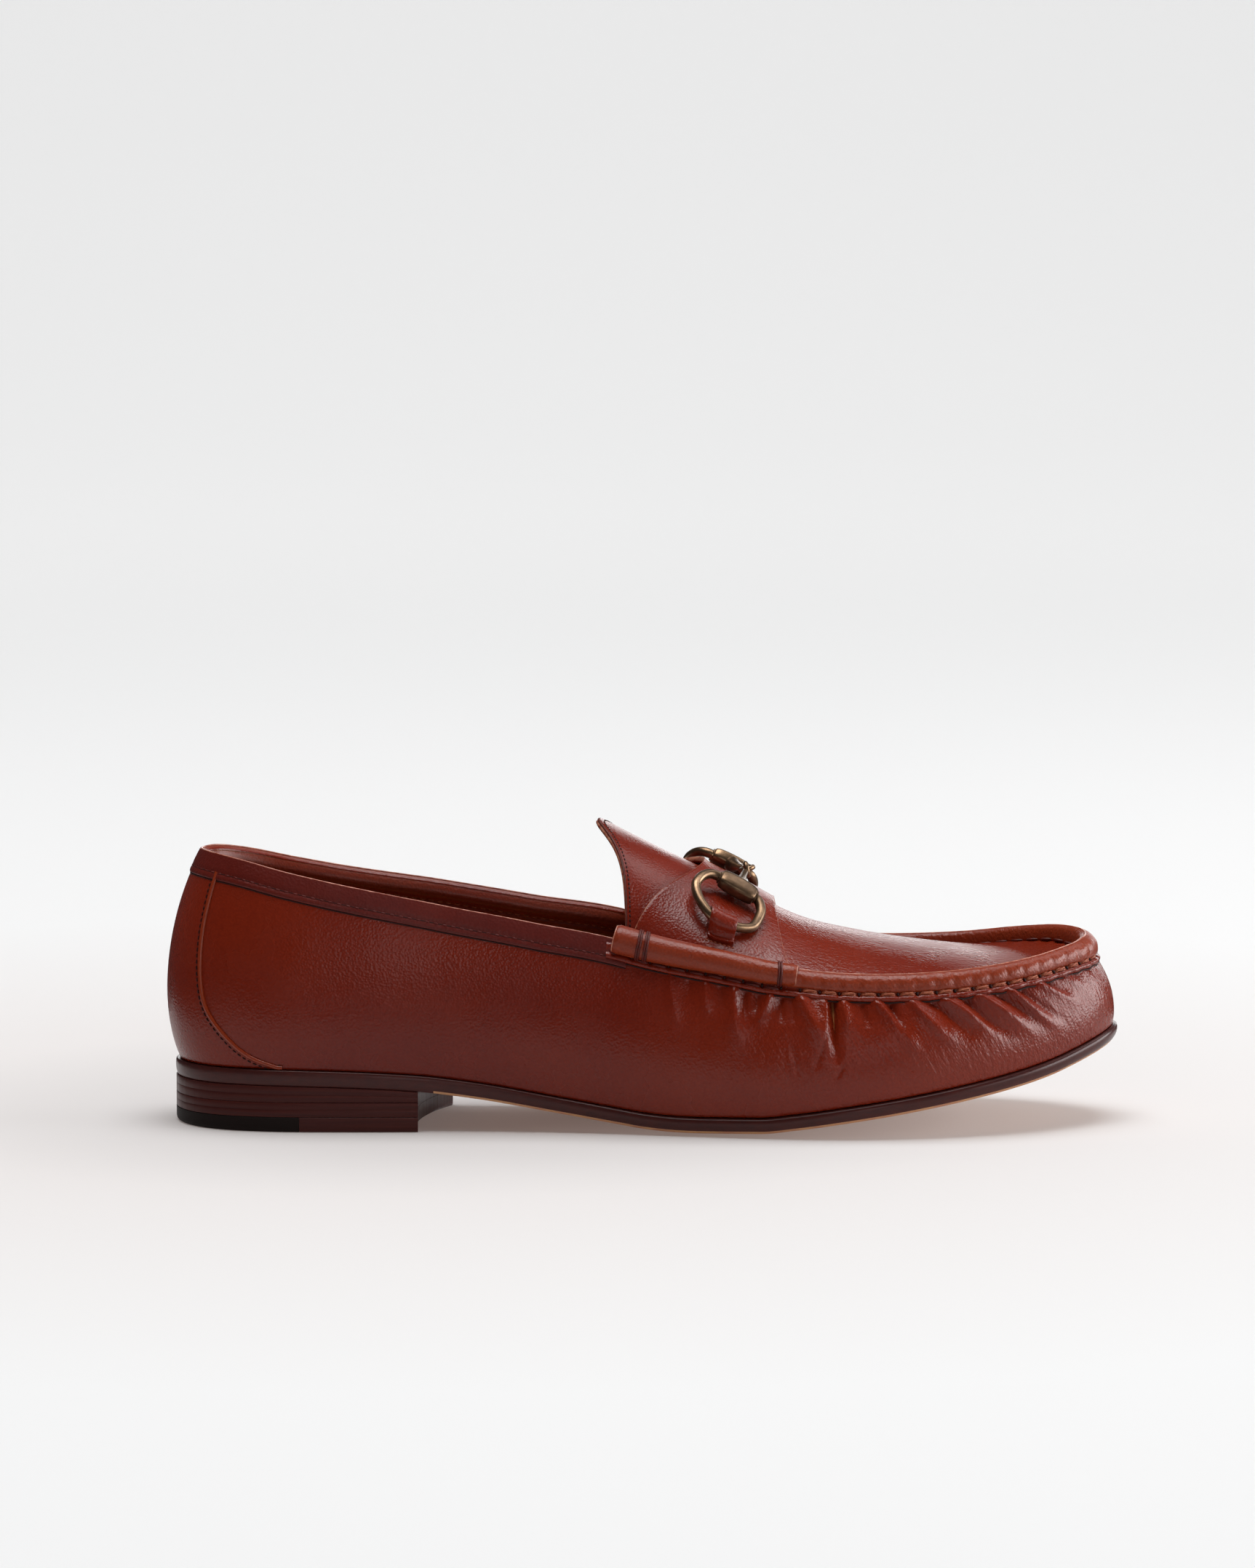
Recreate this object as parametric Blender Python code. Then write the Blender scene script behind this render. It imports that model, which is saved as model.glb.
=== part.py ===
"""A right bit loafer: moccasin upper with a raised apron seam, saddle strap with a snaffle bit,
leather outsole and stacked heel. Metres, +X to the toe, +Y to the inner side, +Z up."""

import functools
import math
from collections import namedtuple

import bmesh
import bpy
import numpy as np

# Main sizes of the shoe.
SHOE_LENGTH = 0.300
BALL_WIDTH = 0.103
HEEL_WIDTH = 0.067
HEEL_HEIGHT = 0.015
TOE_SPRING = 0.026
BACK_HEIGHT = 0.066
TOE_HEIGHT = 0.030
INSTEP_RISE = 0.0335
SWELL = 0.010

# Sole, heel and insole.
SOLE_THICKNESS = 0.005
SOLE_CROWN = 0.002
FLAT_SHARE = 0.52
SOLE_BEVEL = 0.0012
HEEL_LIFT_THICKNESS = 0.0046
TOP_PIECE_THICKNESS = 0.0048
HEEL_INSET = 0.0002
HEEL_EDGE_ROUND = 0.0016
BREAST_LATERAL = 0.078
BREAST_MEDIAL = 0.0875
BREAST_HOLLOW = 0.0045
RUBBER_LENGTH = 0.0405
INSOLE_THICKNESS = 0.003
INSOLE_LIFT = 0.0005

# Upper, saddle strap and their seams.
UPPER_WALL = 0.0021
FEATHER_MARGIN = 0.0014
BINDING_WIDTH = 0.0075
BINDING_STEP = 0.0006
LIP_WIDTH = 0.0060
LIP_STEP = 0.0011
ROLL_RADIUS = 0.0029
HIDDEN_ROLL_RADIUS = 0.0020
PLUG_DROP = 0.0010
COUNTER_RIDGE_RADIUS = 0.0008
STRAP_THICKNESS = 0.0017
BAR_RADIUS_BACK = 0.0047
BAR_RADIUS_FRONT = 0.0036
BAR_FLATTENING = 0.45

# Bit and its keepers.
WIRE_RADIUS = 0.00145
BARREL_LENGTH = 0.0125
BARREL_WIDTH = 0.0068
BARREL_HEIGHT = 0.0050
ARM_REACH = 0.0205
EYE_RADIUS = 0.0019
EYE_WIRE = 0.00075
RING_CLEARANCE = 0.0003
KEEPER_FOOT = 0.0052
KEEPER_LIFT = 0.0005
KEEPER_THICKNESS = 0.0010

# Clearances between pieces.
GAP = 0.0003
LIFT_GAP = 0.0001

# One row for each section from heel to toe. Each value is a share of a named size: x and top_x of
# SHOE_LENGTH, widths of half the named width, walls of the named height, low and high of SWELL.
# The sole edge comes first, then the top line: the collar up to the throat, then the apron seam.
Section = namedtuple(
    "Section",
    "width x lateral medial top_x top_lateral top_medial"
    " height wall_lateral wall_medial low_lateral low_medial high_lateral high_medial",
)
SECTIONS = [
    Section("heel", 0.000, 0.000, 0.000, 0.028, 0.000, 0.000, "back", 1.000, 1.000, 0.72, 0.72, 1.15, 1.15),
    Section("heel", 0.012, 0.448, 0.448, 0.043, 0.385, 0.385, "back", 0.997, 0.995, 0.70, 0.70, 1.10, 1.10),
    Section("heel", 0.047, 0.790, 0.790, 0.077, 0.625, 0.625, "back", 0.972, 0.966, 0.60, 0.60, 0.95, 0.95),
    Section("heel", 0.107, 0.970, 0.970, 0.127, 0.776, 0.776, "back", 0.920, 0.915, 0.45, 0.45, 0.75, 0.75),
    Section("heel", 0.193, 1.000, 0.985, 0.200, 0.860, 0.851, "back", 0.860, 0.864, 0.38, 0.38, 0.62, 0.60),
    Section("heel", 0.283, 0.985, 0.925, 0.287, 0.875, 0.851, "back", 0.811, 0.836, 0.38, 0.42, 0.60, 0.60),
    Section("ball", 0.373, 0.656, 0.563, 0.377, 0.598, 0.563, "back", 0.799, 0.830, 0.45, 0.55, 0.65, 0.62),
    Section("ball", 0.460, 0.718, 0.583, 0.463, 0.650, 0.612, "back", 0.800, 0.839, 0.50, 0.65, 0.70, 0.66),
    Section("ball", 0.543, 0.825, 0.699, 0.543, 0.718, 0.670, "back", 0.763, 0.803, 0.55, 0.62, 0.80, 0.75),
    Section("ball", 0.627, 0.932, 0.864, 0.623, 0.786, 0.748, "toe", 1.523, 1.613, 0.55, 0.52, 0.90, 0.85),
    Section("ball", 0.707, 0.990, 0.980, 0.700, 0.821, 0.816, "toe", 1.340, 1.440, 0.48, 0.45, 0.95, 0.90),
    Section("ball", 0.787, 0.951, 1.000, 0.773, 0.796, 0.835, "toe", 1.207, 1.297, 0.40, 0.38, 0.92, 0.90),
    Section("ball", 0.857, 0.825, 0.925, 0.840, 0.680, 0.765, "toe", 1.100, 1.197, 0.30, 0.30, 0.90, 0.90),
    Section("ball", 0.917, 0.630, 0.785, 0.893, 0.520, 0.630, "toe", 1.030, 1.143, 0.22, 0.22, 0.88, 0.88),
    Section("ball", 0.967, 0.365, 0.545, 0.934, 0.305, 0.450, "toe", 0.974, 1.074, 0.15, 0.15, 0.86, 0.86),
    Section("ball", 0.992, 0.150, 0.335, 0.958, 0.125, 0.275, "toe", 0.938, 0.985, 0.10, 0.10, 0.85, 0.85),
    Section("ball", 1.000, -0.090, 0.090, 0.966, -0.075, 0.075, "toe", 0.930, 0.930, 0.10, 0.10, 0.85, 0.85),
]
LAST_SECTION = len(SECTIONS) - 1

# Height of the outsole's underside above the floor along its middle, as shares of the named size.
SOLE_PROFILE = [
    (0.000, 1.000, "heel"),
    (0.090, 0.987, "heel"),
    (0.180, 0.947, "heel"),
    (0.257, 0.865, "heel"),
    (0.320, 0.715, "heel"),
    (0.403, 0.430, "heel"),
    (0.465, 0.200, "heel"),
    (0.500, 0.075, "heel"),
    (0.530, 0.018, "heel"),
    (0.560, 0.000, "heel"),
    (0.617, 0.000, "toe"),
    (0.655, 0.044, "toe"),
    (0.710, 0.135, "toe"),
    (0.763, 0.236, "toe"),
    (0.845, 0.430, "toe"),
    (0.900, 0.591, "toe"),
    (0.955, 0.798, "toe"),
    (1.000, 1.000, "toe"),
]

# Arches of the apron and tongue, from the tongue's peak to the toe: the section of the apron seam
# where each one stands, how far its crown leans to the heel (of SHOE_LENGTH), its rise (of
# INSTEP_RISE), the crown's shift to the inner side (of half BALL_WIDTH), and its fullness.
Arch = namedtuple("Arch", "section lean rise shift fullness")
ARCHES = [
    Arch(7.20, 0.0290, 1.065, 0.06, 1.30),
    Arch(7.60, 0.0080, 0.895, 0.08, 1.32),
    Arch(8.20, 0.0020, 0.750, 0.08, 1.40),
    Arch(8.80, 0.0000, 0.610, 0.08, 1.60),
    Arch(9.50, 0.0000, 0.425, 0.08, 1.65),
    Arch(10.3, 0.0000, 0.320, 0.07, 1.60),
    Arch(11.2, 0.0000, 0.225, 0.05, 1.70),
    Arch(12.2, 0.0000, 0.110, 0.03, 1.80),
    Arch(13.2, 0.0000, 0.020, 0.00, 1.80),
    Arch(14.2, 0.0000, -0.030, 0.00, 1.80),
    Arch(15.0, 0.0000, -0.040, 0.00, 1.80),
    Arch(15.6, 0.0000, -0.030, 0.00, 1.80),
]
LEAN_SHARPNESS = 7.0
APRON_COLUMNS = 19

# Route of the counter's raised seam on each side: height up the wall and distance from the back,
# as shares of the back's wall height and of SHOE_LENGTH.
COUNTER_SEAM = [
    (0.00, 0.1180),
    (0.08, 0.0830),
    (0.20, 0.0560),
    (0.33, 0.0370),
    (0.48, 0.0310),
    (0.65, 0.0330),
    (0.80, 0.0400),
    (0.93, 0.0480),
]

# Where the saddle strap's edges lie on the arches, at its ends and over the crown.
STRAP_BACK = (0.10, 2.00)
STRAP_BACK_HOLLOW = 1.8
STRAP_FRONT = (3.90, 3.45)
BAR_SECTIONS = {"lateral": (7.04, 9.42), "medial": (7.34, 9.42)}
ROLL_SECTIONS = (7.35, 9.30)

# Centreline of a ring from its barrel round: along the barrel and away from it, of BARREL_LENGTH.
RING_ROUTE = [
    (-0.50, -0.01),
    (0.00, 0.00),
    (0.48, 0.01),
    (0.68, 0.13),
    (0.81, 0.48),
    (0.77, 1.08),
    (0.50, 1.38),
    (0.10, 1.52),
    (-0.28, 1.53),
    (-0.62, 1.32),
    (-0.88, 1.02),
    (-0.99, 0.70),
    (-0.93, 0.32),
    (-0.76, 0.07),
]
# How each half of the bit lies: the slope of its barrel, the fall of its arm from level, and how far
# its barrel stands towards the heel, of BARREL_LENGTH.
Half = namedtuple("Half", "sign slope arm_fall back")
HALVES = {
    "lateral": Half(-1, math.radians(30), math.radians(13.5), 0.08),
    "medial": Half(1, math.radians(27), math.radians(8.0), 0.34),
}
STEEPEST_RING = math.radians(75)
# Middle of the bit, as shares of SHOE_LENGTH, half BALL_WIDTH and the rise of its barrels.
BIT_MIDDLE = (0.606, 0.020, 1.46)
# Where the keepers hold the rings, as shares of BARREL_LENGTH along them.
KEEPER_SPAN = (-0.32, 0.36)

COLOURS = {
    "chestnut_leather": ((0.26, 0.050, 0.022, 1), 0.40, 0.0),
    "dark_edge": ((0.040, 0.012, 0.012, 1), 0.30, 0.0),
    "stacked_leather": ((0.055, 0.018, 0.012, 1), 0.42, 0.0),
    "rubber": ((0.012, 0.009, 0.008, 1), 0.60, 0.0),
    "insole_leather": ((0.34, 0.16, 0.045, 1), 0.55, 0.0),
    "antique_brass": ((0.20, 0.14, 0.075, 1), 0.28, 1.0),
}


def clear_scene():
    for obj in list(bpy.data.objects):
        bpy.data.objects.remove(obj)


def material(name):
    found = bpy.data.materials.get(name)
    if found:
        return found
    colour, roughness, metallic = COLOURS[name]
    made = bpy.data.materials.new(name)
    made.use_nodes = True
    shader = made.node_tree.nodes["Principled BSDF"]
    shader.inputs["Base Color"].default_value = colour
    shader.inputs["Roughness"].default_value = roughness
    shader.inputs["Metallic"].default_value = metallic
    made.diffuse_color = colour
    return made


def monotone(xs, ys, x):
    """A smooth curve through the rows that never overshoots them."""
    xs, ys, x = np.asarray(xs, float), np.asarray(ys, float), np.asarray(x, float)
    step = np.diff(xs)
    slope = np.diff(ys) / step
    tangent = np.zeros(len(xs))
    rising = slope[:-1] * slope[1:] > 0
    both = np.where(rising, slope[:-1] + slope[1:], 1)
    tangent[1:-1] = np.where(rising, 2 * slope[:-1] * slope[1:] / both, 0)
    tangent[0], tangent[-1] = slope[0], slope[-1]
    i = np.clip(np.searchsorted(xs, x, side="right") - 1, 0, len(xs) - 2)
    t = np.clip((x - xs[i]) / step[i], 0, 1)
    return (
        ys[i] * (1 + 2 * t) * (1 - t) ** 2
        + ys[i + 1] * t * t * (3 - 2 * t)
        + step[i] * (tangent[i] * t * (1 - t) ** 2 + tangent[i + 1] * t * t * (t - 1))
    )


def through(rows, u, closed=False):
    """A Catmull-Rom curve through rows of values, at places u counted in rows."""
    rows, u = np.asarray(rows, float), np.asarray(u, float)
    n = len(rows)
    if closed:
        i = np.floor(u).astype(int)
    else:
        i = np.clip(np.floor(u).astype(int), 0, n - 2)
    t = (u - i)[..., None]

    def row(k):
        return rows[k % n] if closed else rows[np.clip(k, 0, n - 1)]

    a, b, c, d = row(i - 1), row(i), row(i + 1), row(i + 2)
    if not closed:
        a = np.where((i == 0)[..., None], 2 * b - c, a)
        d = np.where((i == n - 2)[..., None], 2 * c - b, d)
    return 0.5 * (2 * b + (c - a) * t + (2 * a - 5 * b + 4 * c - d) * t**2 + (3 * b - a - 3 * c + d) * t**3)


def smoothstep(low, high, x):
    t = np.clip((x - low) / (high - low), 0, 1)
    return t * t * (3 - 2 * t)


def sole_under(x):
    """Height of the outsole's underside on its middle line."""
    sizes = {"heel": HEEL_HEIGHT, "toe": TOE_SPRING}
    xs = [row[0] * SHOE_LENGTH for row in SOLE_PROFILE]
    zs = [row[1] * sizes[row[2]] for row in SOLE_PROFILE]
    return monotone(xs, zs, x)


def sole_curl(x, y):
    """How much the forepart's edges rise above its flat middle."""
    half = BALL_WIDTH / 2
    out = np.clip((np.abs(y) / half - FLAT_SHARE) / (1 - FLAT_SHARE), 0, 1.1)
    return SOLE_CROWN * out**1.25 * smoothstep(0.36 * SHOE_LENGTH, 0.52 * SHOE_LENGTH, x)


def sole_bottom(x, y):
    return sole_under(x) + sole_curl(x, y)


def sole_top(x, y):
    return sole_bottom(x, y) + SOLE_THICKNESS


def loop_rows(lateral_row, medial_row):
    """Rows of a closed loop: heel back, outer side, toe tip, inner side."""
    out = [lateral_row(s) for s in SECTIONS]
    back = [medial_row(s) for s in SECTIONS[1:-1]][::-1]
    return np.array(out + back, float)


def half_width(section):
    return {"heel": HEEL_WIDTH, "ball": BALL_WIDTH}[section.width] / 2


def wall_height(section):
    return {"back": BACK_HEIGHT, "toe": TOE_HEIGHT}[section.height]


EDGE_ROWS = loop_rows(
    lambda s: (s.x * SHOE_LENGTH, -s.lateral * half_width(s)),
    lambda s: (s.x * SHOE_LENGTH, s.medial * half_width(s)),
)
TOP_ROWS = loop_rows(
    lambda s: (s.top_x * SHOE_LENGTH, -s.top_lateral * half_width(s), s.wall_lateral * wall_height(s)),
    lambda s: (s.top_x * SHOE_LENGTH, s.top_medial * half_width(s), s.wall_medial * wall_height(s)),
)
SWELL_ROWS = SWELL * loop_rows(
    lambda s: (s.low_lateral, s.high_lateral),
    lambda s: (s.low_medial, s.high_medial),
)
LOOP = len(EDGE_ROWS)
LOW_HEIGHT = 0.24
HIGH_HEIGHT = 0.32


def outward(u, step=0.02):
    """Unit vectors in plan, out of the sole's edge."""
    along = through(EDGE_ROWS, u + step, True) - through(EDGE_ROWS, u - step, True)
    normal = np.stack([along[..., 1], -along[..., 0]], -1)
    return normal / np.linalg.norm(normal, axis=-1, keepdims=True)


def edge(u, inset=0.0):
    """The sole's edge in plan at loop places u, moved in by inset."""
    u = np.asarray(u, float)
    return through(EDGE_ROWS, u, True) - outward(u) * np.asarray(inset)[..., None]


def top_line(u):
    """The wall's top: the collar, then the apron seam."""
    top = through(TOP_ROWS, u, True)
    base = sole_top(top[..., 0], 0 * top[..., 0])
    return np.stack([top[..., 0], top[..., 1], base + top[..., 2]], -1)


def wall_point(u, t):
    """The upper's outer side: u round the loop, t from the sole at 0 to the top line at 1."""
    u, t = np.broadcast_arrays(np.asarray(u, float), np.asarray(t, float))
    foot = edge(u, np.full(u.shape, FEATHER_MARGIN))
    foot = np.stack([foot[..., 0], foot[..., 1], sole_top(foot[..., 0], foot[..., 1]) + GAP], -1)
    top = top_line(u)
    out = np.concatenate([outward(u), np.zeros(u.shape + (1,))], -1)
    rise = (top - foot)[..., 2:3] * np.array([0, 0, 1.0])
    swell = through(SWELL_ROWS, u, True)
    low = foot + out * swell[..., 0:1] + rise * LOW_HEIGHT
    high = top + out * swell[..., 1:2] - rise * HIGH_HEIGHT
    t = t[..., None]
    return foot * (1 - t) ** 3 + 3 * low * t * (1 - t) ** 2 + 3 * high * t * t * (1 - t) + top * t**3


def unit(v):
    return v / np.maximum(np.linalg.norm(v, axis=-1, keepdims=True), 1e-12)


def wall_normal(u, t, du=0.05, dt=0.02):
    u, t = np.broadcast_arrays(np.asarray(u, float), np.asarray(t, float))
    low, high = np.clip(t - dt, 0, 1), np.clip(t + dt, 0, 1)
    along = wall_point(u + du, t) - wall_point(u - du, t)
    up = wall_point(u, high) - wall_point(u, low)
    normal = unit(np.cross(along, up))
    facing = np.sum(normal[..., :2] * outward(u), -1, keepdims=True)
    return np.where(facing < 0, -normal, normal)


def wall_at_depth(u, depth, samples=41):
    """The wall's t at a distance below its top line."""
    u, depth = np.broadcast_arrays(np.asarray(u, float), np.asarray(depth, float))
    t = np.linspace(0, 1, samples)
    points = wall_point(u[..., None], t)
    length = np.linalg.norm(np.diff(points, axis=-2), axis=-1)
    below = np.concatenate([np.zeros(u.shape + (1,)), np.cumsum(length[..., ::-1], -1)], -1)
    found = [np.interp(d, b, 1 - t) for d, b in zip(depth.ravel(), below.reshape(-1, samples))]
    return np.array(found).reshape(u.shape)


def arch_point(a, turn):
    """The apron's outer side: a counts the rows of ARCHES, turn goes from 0 at the outer seam to pi."""
    a, turn = np.broadcast_arrays(np.asarray(a, float), np.asarray(turn, float))
    row = through([list(arch) for arch in ARCHES], a)
    section, lean, rise, shift, fullness = np.moveaxis(row, -1, 0)
    outer, inner = top_line(section), top_line(-section)
    across = ((1 - np.cos(turn)) / 2)[..., None]
    high = np.clip(np.sin(turn), 0, 1)
    point = outer * (1 - across) + inner * across
    point = point + np.stack(
        [
            -lean * SHOE_LENGTH * high**LEAN_SHARPNESS,
            shift * BALL_WIDTH / 2 * high**2,
            rise * INSTEP_RISE * high**fullness - PLUG_DROP,
        ],
        -1,
    )
    return point


def arch_normal(a, turn, da=0.04, dturn=0.05):
    a, turn = np.broadcast_arrays(np.asarray(a, float), np.asarray(turn, float))
    last = len(ARCHES) - 1
    along = arch_point(np.clip(a + da, 0, last), turn) - arch_point(np.clip(a - da, 0, last), turn)
    left, right = np.clip(turn + dturn, 0, np.pi), np.clip(turn - dturn, 0, np.pi)
    across = arch_point(a, left) - arch_point(a, right)
    return unit(np.cross(along, across))


def new_object(name, points, faces, material_name):
    """A smooth-shaded object from points and faces, with its faces turned out."""
    mesh = bpy.data.meshes.new(name)
    mesh.from_pydata([tuple(p) for p in np.asarray(points, float)], [], [list(f) for f in faces])
    shell = bmesh.new()
    shell.from_mesh(mesh)
    bmesh.ops.remove_doubles(shell, verts=shell.verts, dist=1e-6)
    bmesh.ops.recalc_face_normals(shell, faces=shell.faces)
    shell.to_mesh(mesh)
    shell.free()
    mesh.shade_smooth()
    mesh.set_sharp_from_angle(angle=math.radians(40))
    mesh.materials.append(material(material_name))
    made = bpy.data.objects.new(name, mesh)
    bpy.context.scene.collection.objects.link(made)
    return made


def combine(target, tool, operation):
    """Joins tool to target, or cuts it away, and hides it."""
    change = target.modifiers.new(operation.lower() + "_" + tool.name, "BOOLEAN")
    change.operation = operation
    change.solver = "EXACT"
    change.object = tool
    tool.hide_render = True
    tool.display_type = "WIRE"


def grid_faces(rows, columns, start=0, wrap_rows=False):
    faces = []
    for i in range(rows if wrap_rows else rows - 1):
        for j in range(columns - 1):
            a, b = start + i * columns + j, start + ((i + 1) % rows) * columns + j
            faces.append((a, a + 1, b + 1, b))
    return faces


def thick_sheet(name, outer, inner, material_name, wrap=False):
    """A closed solid between two grids of points, which may wrap round along their rows."""
    rows, columns = outer.shape[:2]
    count = rows * columns
    faces = grid_faces(rows, columns, 0, wrap) + grid_faces(rows, columns, count, wrap)
    for i in range(rows if wrap else rows - 1):
        k = (i + 1) % rows
        for j in (0, columns - 1):
            a, b = i * columns + j, k * columns + j
            faces.append((a, b, b + count, a + count))
    if not wrap:
        for i in (0, rows - 1):
            for j in range(columns - 1):
                a, b = i * columns + j, i * columns + j + 1
                faces.append((a, b, b + count, a + count))
    points = np.concatenate([outer.reshape(-1, 3), inner.reshape(-1, 3)])
    return new_object(name, points, faces, material_name)


def tube(name, rings, material_name, closed=False):
    """A solid through rings of points. Open ends are filled."""
    rings = np.asarray(rings, float)
    count, sides = rings.shape[:2]
    faces = []
    for i in range(count if closed else count - 1):
        k = (i + 1) % count
        for j in range(sides):
            m = (j + 1) % sides
            faces.append((i * sides + j, i * sides + m, k * sides + m, k * sides + j))
    if not closed:
        faces += [tuple(range(sides)), tuple(range((count - 1) * sides, count * sides))]
    return new_object(name, rings.reshape(-1, 3), faces, material_name)


def rings_along(path, across, radii, sides):
    """Circles round a path. across is a direction out of it at each point."""
    path = np.asarray(path, float)
    along = unit(np.gradient(path, axis=0))
    side = unit(across - along * np.sum(across * along, -1, keepdims=True))
    up = np.cross(along, side)
    turn = np.linspace(0, 2 * np.pi, sides, endpoint=False)[None, :, None]
    ring = side[:, None] * np.cos(turn) + up[:, None] * np.sin(turn)
    return path[:, None] + ring * np.asarray(radii, float)[:, None, None]


def sole_plan(last_lateral, last_medial, inset, stations, across, hollow=0.0):
    """A grid in plan over the sole from the heel's back: rows are stations, columns go across.
    hollow bends the last row towards the heel."""
    share = np.linspace(0, 1, stations)
    lateral = edge(share * last_lateral, np.full(stations, inset))
    medial = edge(-share * last_medial, np.full(stations, inset))
    q = np.linspace(0, 1, across)[None, :, None]
    plan = lateral[:, None] * (1 - q) + medial[:, None] * q
    bow = hollow * share[:, None] ** 6 * (1 - (2 * q[..., 0] - 1) ** 2)
    plan[..., 0] -= bow
    return plan


def slab(name, plans, heights, material_name):
    """A solid of stacked plan grids: plans and heights go from the top down, and only the first and
    last are filled. A height is a function of x and y."""
    stations, across = plans[0].shape[:2]

    def rim(grid):
        side = [(i, 0) for i in range(stations)] + [(stations - 1, j) for j in range(1, across)]
        side += [(i, across - 1) for i in range(stations - 2, -1, -1)]
        side += [(0, j) for j in range(across - 2, 0, -1)]
        return np.array([grid[i, j] for i, j in side])

    def lifted(plan, height):
        return np.concatenate([plan, height(plan[..., 0], plan[..., 1])[..., None]], -1)

    top, bottom = lifted(plans[0], heights[0]), lifted(plans[-1], heights[-1])
    points = [top.reshape(-1, 3), bottom.reshape(-1, 3)]
    count = stations * across
    faces = grid_faces(stations, across) + grid_faces(stations, across, count)
    start = 2 * count
    rims = [rim(lifted(plan, height)) for plan, height in zip(plans, heights)]
    size = len(rims[0])
    for level in range(len(rims) - 1):
        for j in range(size):
            k = (j + 1) % size
            a = start + level * size
            faces.append((a + j, a + k, a + size + k, a + size + j))
    points += rims
    return new_object(name, np.concatenate(points), faces, material_name)


def build_outsole():
    stations, across = 37, 5
    rim = [(0.0007, 1.0), (0.0, 0.78), (0.0, 0.45), (0.0004, 0.20), (SOLE_BEVEL, 0.0)]
    last = LAST_SECTION
    plans = [sole_plan(last, last, inset, stations, across) for inset, _ in rim]
    heights = [
        (lambda x, y, share=share: sole_bottom(x, y) + share * SOLE_THICKNESS) for _, share in rim
    ]
    heights[-1] = sole_bottom
    slab("outsole", plans, heights, "dark_edge")


def build_insole():
    stations, across = 27, 5
    inset = FEATHER_MARGIN + UPPER_WALL + 0.0012
    plan = sole_plan(LAST_SECTION, LAST_SECTION, inset, stations, across)
    slab(
        "insole",
        [plan, plan],
        [
            lambda x, y: sole_top(x, y) + INSOLE_LIFT + INSOLE_THICKNESS,
            lambda x, y: sole_top(x, y) + INSOLE_LIFT,
        ],
        "insole_leather",
    )


def section_at(distance):
    """The section whose sole edge lies this far from the heel's back."""
    xs = [s.x * SHOE_LENGTH for s in SECTIONS]
    return float(np.interp(distance, xs, range(len(xs))))


def heel_plan(inset, lateral_end, medial_end, hollow, stations=12, across=7):
    return sole_plan(section_at(lateral_end), section_at(medial_end), inset, stations, across, hollow)


def level(height):
    return lambda x, y: np.full(np.shape(x), height)


def build_heel():
    """Two lifts under the sole, then a top piece whose rear part is rubber."""
    breast = (BREAST_LATERAL, BREAST_MEDIAL, BREAST_HOLLOW)
    whole = heel_plan(HEEL_INSET, *breast)
    top_of_piece = TOP_PIECE_THICKNESS
    second_low = top_of_piece + LIFT_GAP
    second_high = second_low + HEEL_LIFT_THICKNESS
    first_low = second_high + LIFT_GAP
    slab(
        "heel_lift_1",
        [whole, whole],
        [lambda x, y: sole_bottom(x, y) - LIFT_GAP, level(first_low)],
        "stacked_leather",
    )
    slab("heel_lift_2", [whole, whole], [level(second_high), level(second_low)], "stacked_leather")

    rounded = heel_plan(HEEL_INSET + HEEL_EDGE_ROUND / 3, *breast)
    smallest = heel_plan(HEEL_INSET + HEEL_EDGE_ROUND, *breast)
    heights = [level(top_of_piece), level(HEEL_EDGE_ROUND), level(HEEL_EDGE_ROUND / 3), level(0.0)]
    for name, part, material_name in (
        ("rubber_heel_tip", (0.0, 1.0), "rubber"),
        ("leather_top_piece", (1.0, 0.0), "stacked_leather"),
    ):
        plans = [cut_plan(plan, part) for plan in (whole, whole, rounded, smallest)]
        slab(name, plans, heights, material_name)


def cut_plan(plan, part):
    """The part of a heel plan behind the rubber's front line, or before it."""
    stations, across = plan.shape[:2]
    front = RUBBER_LENGTH
    share = np.linspace(0, 1, stations)[:, None, None]
    joint = np.empty((1, across, 2))
    for j in range(across):
        joint[0, j] = [front, np.interp(front, plan[:, j, 0], plan[:, j, 1])]
    if part[1]:
        rear = np.empty_like(plan)
        for j in range(across):
            xs = plan[0, j, 0] + (front - plan[0, j, 0]) * share[:, 0, 0] ** 1.6
            rear[:, j, 0] = xs
            rear[:, j, 1] = np.interp(xs, plan[:, j, 0], plan[:, j, 1])
        return rear
    fore = np.empty((6, across, 2))
    for j in range(across):
        xs = np.linspace(front + LIFT_GAP, plan[-1, j, 0], 6)
        fore[:, j, 0] = xs
        fore[:, j, 1] = np.interp(xs, plan[:, j, 0], plan[:, j, 1])
    return fore


def raised(u):
    """The width of the wall's raised top edge and how far it stands out: the binding along the
    collar, the seam's lip along the apron."""
    beside_apron = seam_share(u)
    width = BINDING_WIDTH + (LIP_WIDTH - BINDING_WIDTH) * beside_apron
    step = BINDING_STEP + (LIP_STEP - BINDING_STEP) * beside_apron
    return width, step


def seam_share(u):
    """0 along the collar, 1 along the apron seam."""
    section = np.abs((u + LOOP / 2) % LOOP - LOOP / 2)
    return smoothstep(ARCHES[0].section - 0.3, ARCHES[0].section + 0.1, section)


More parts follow.
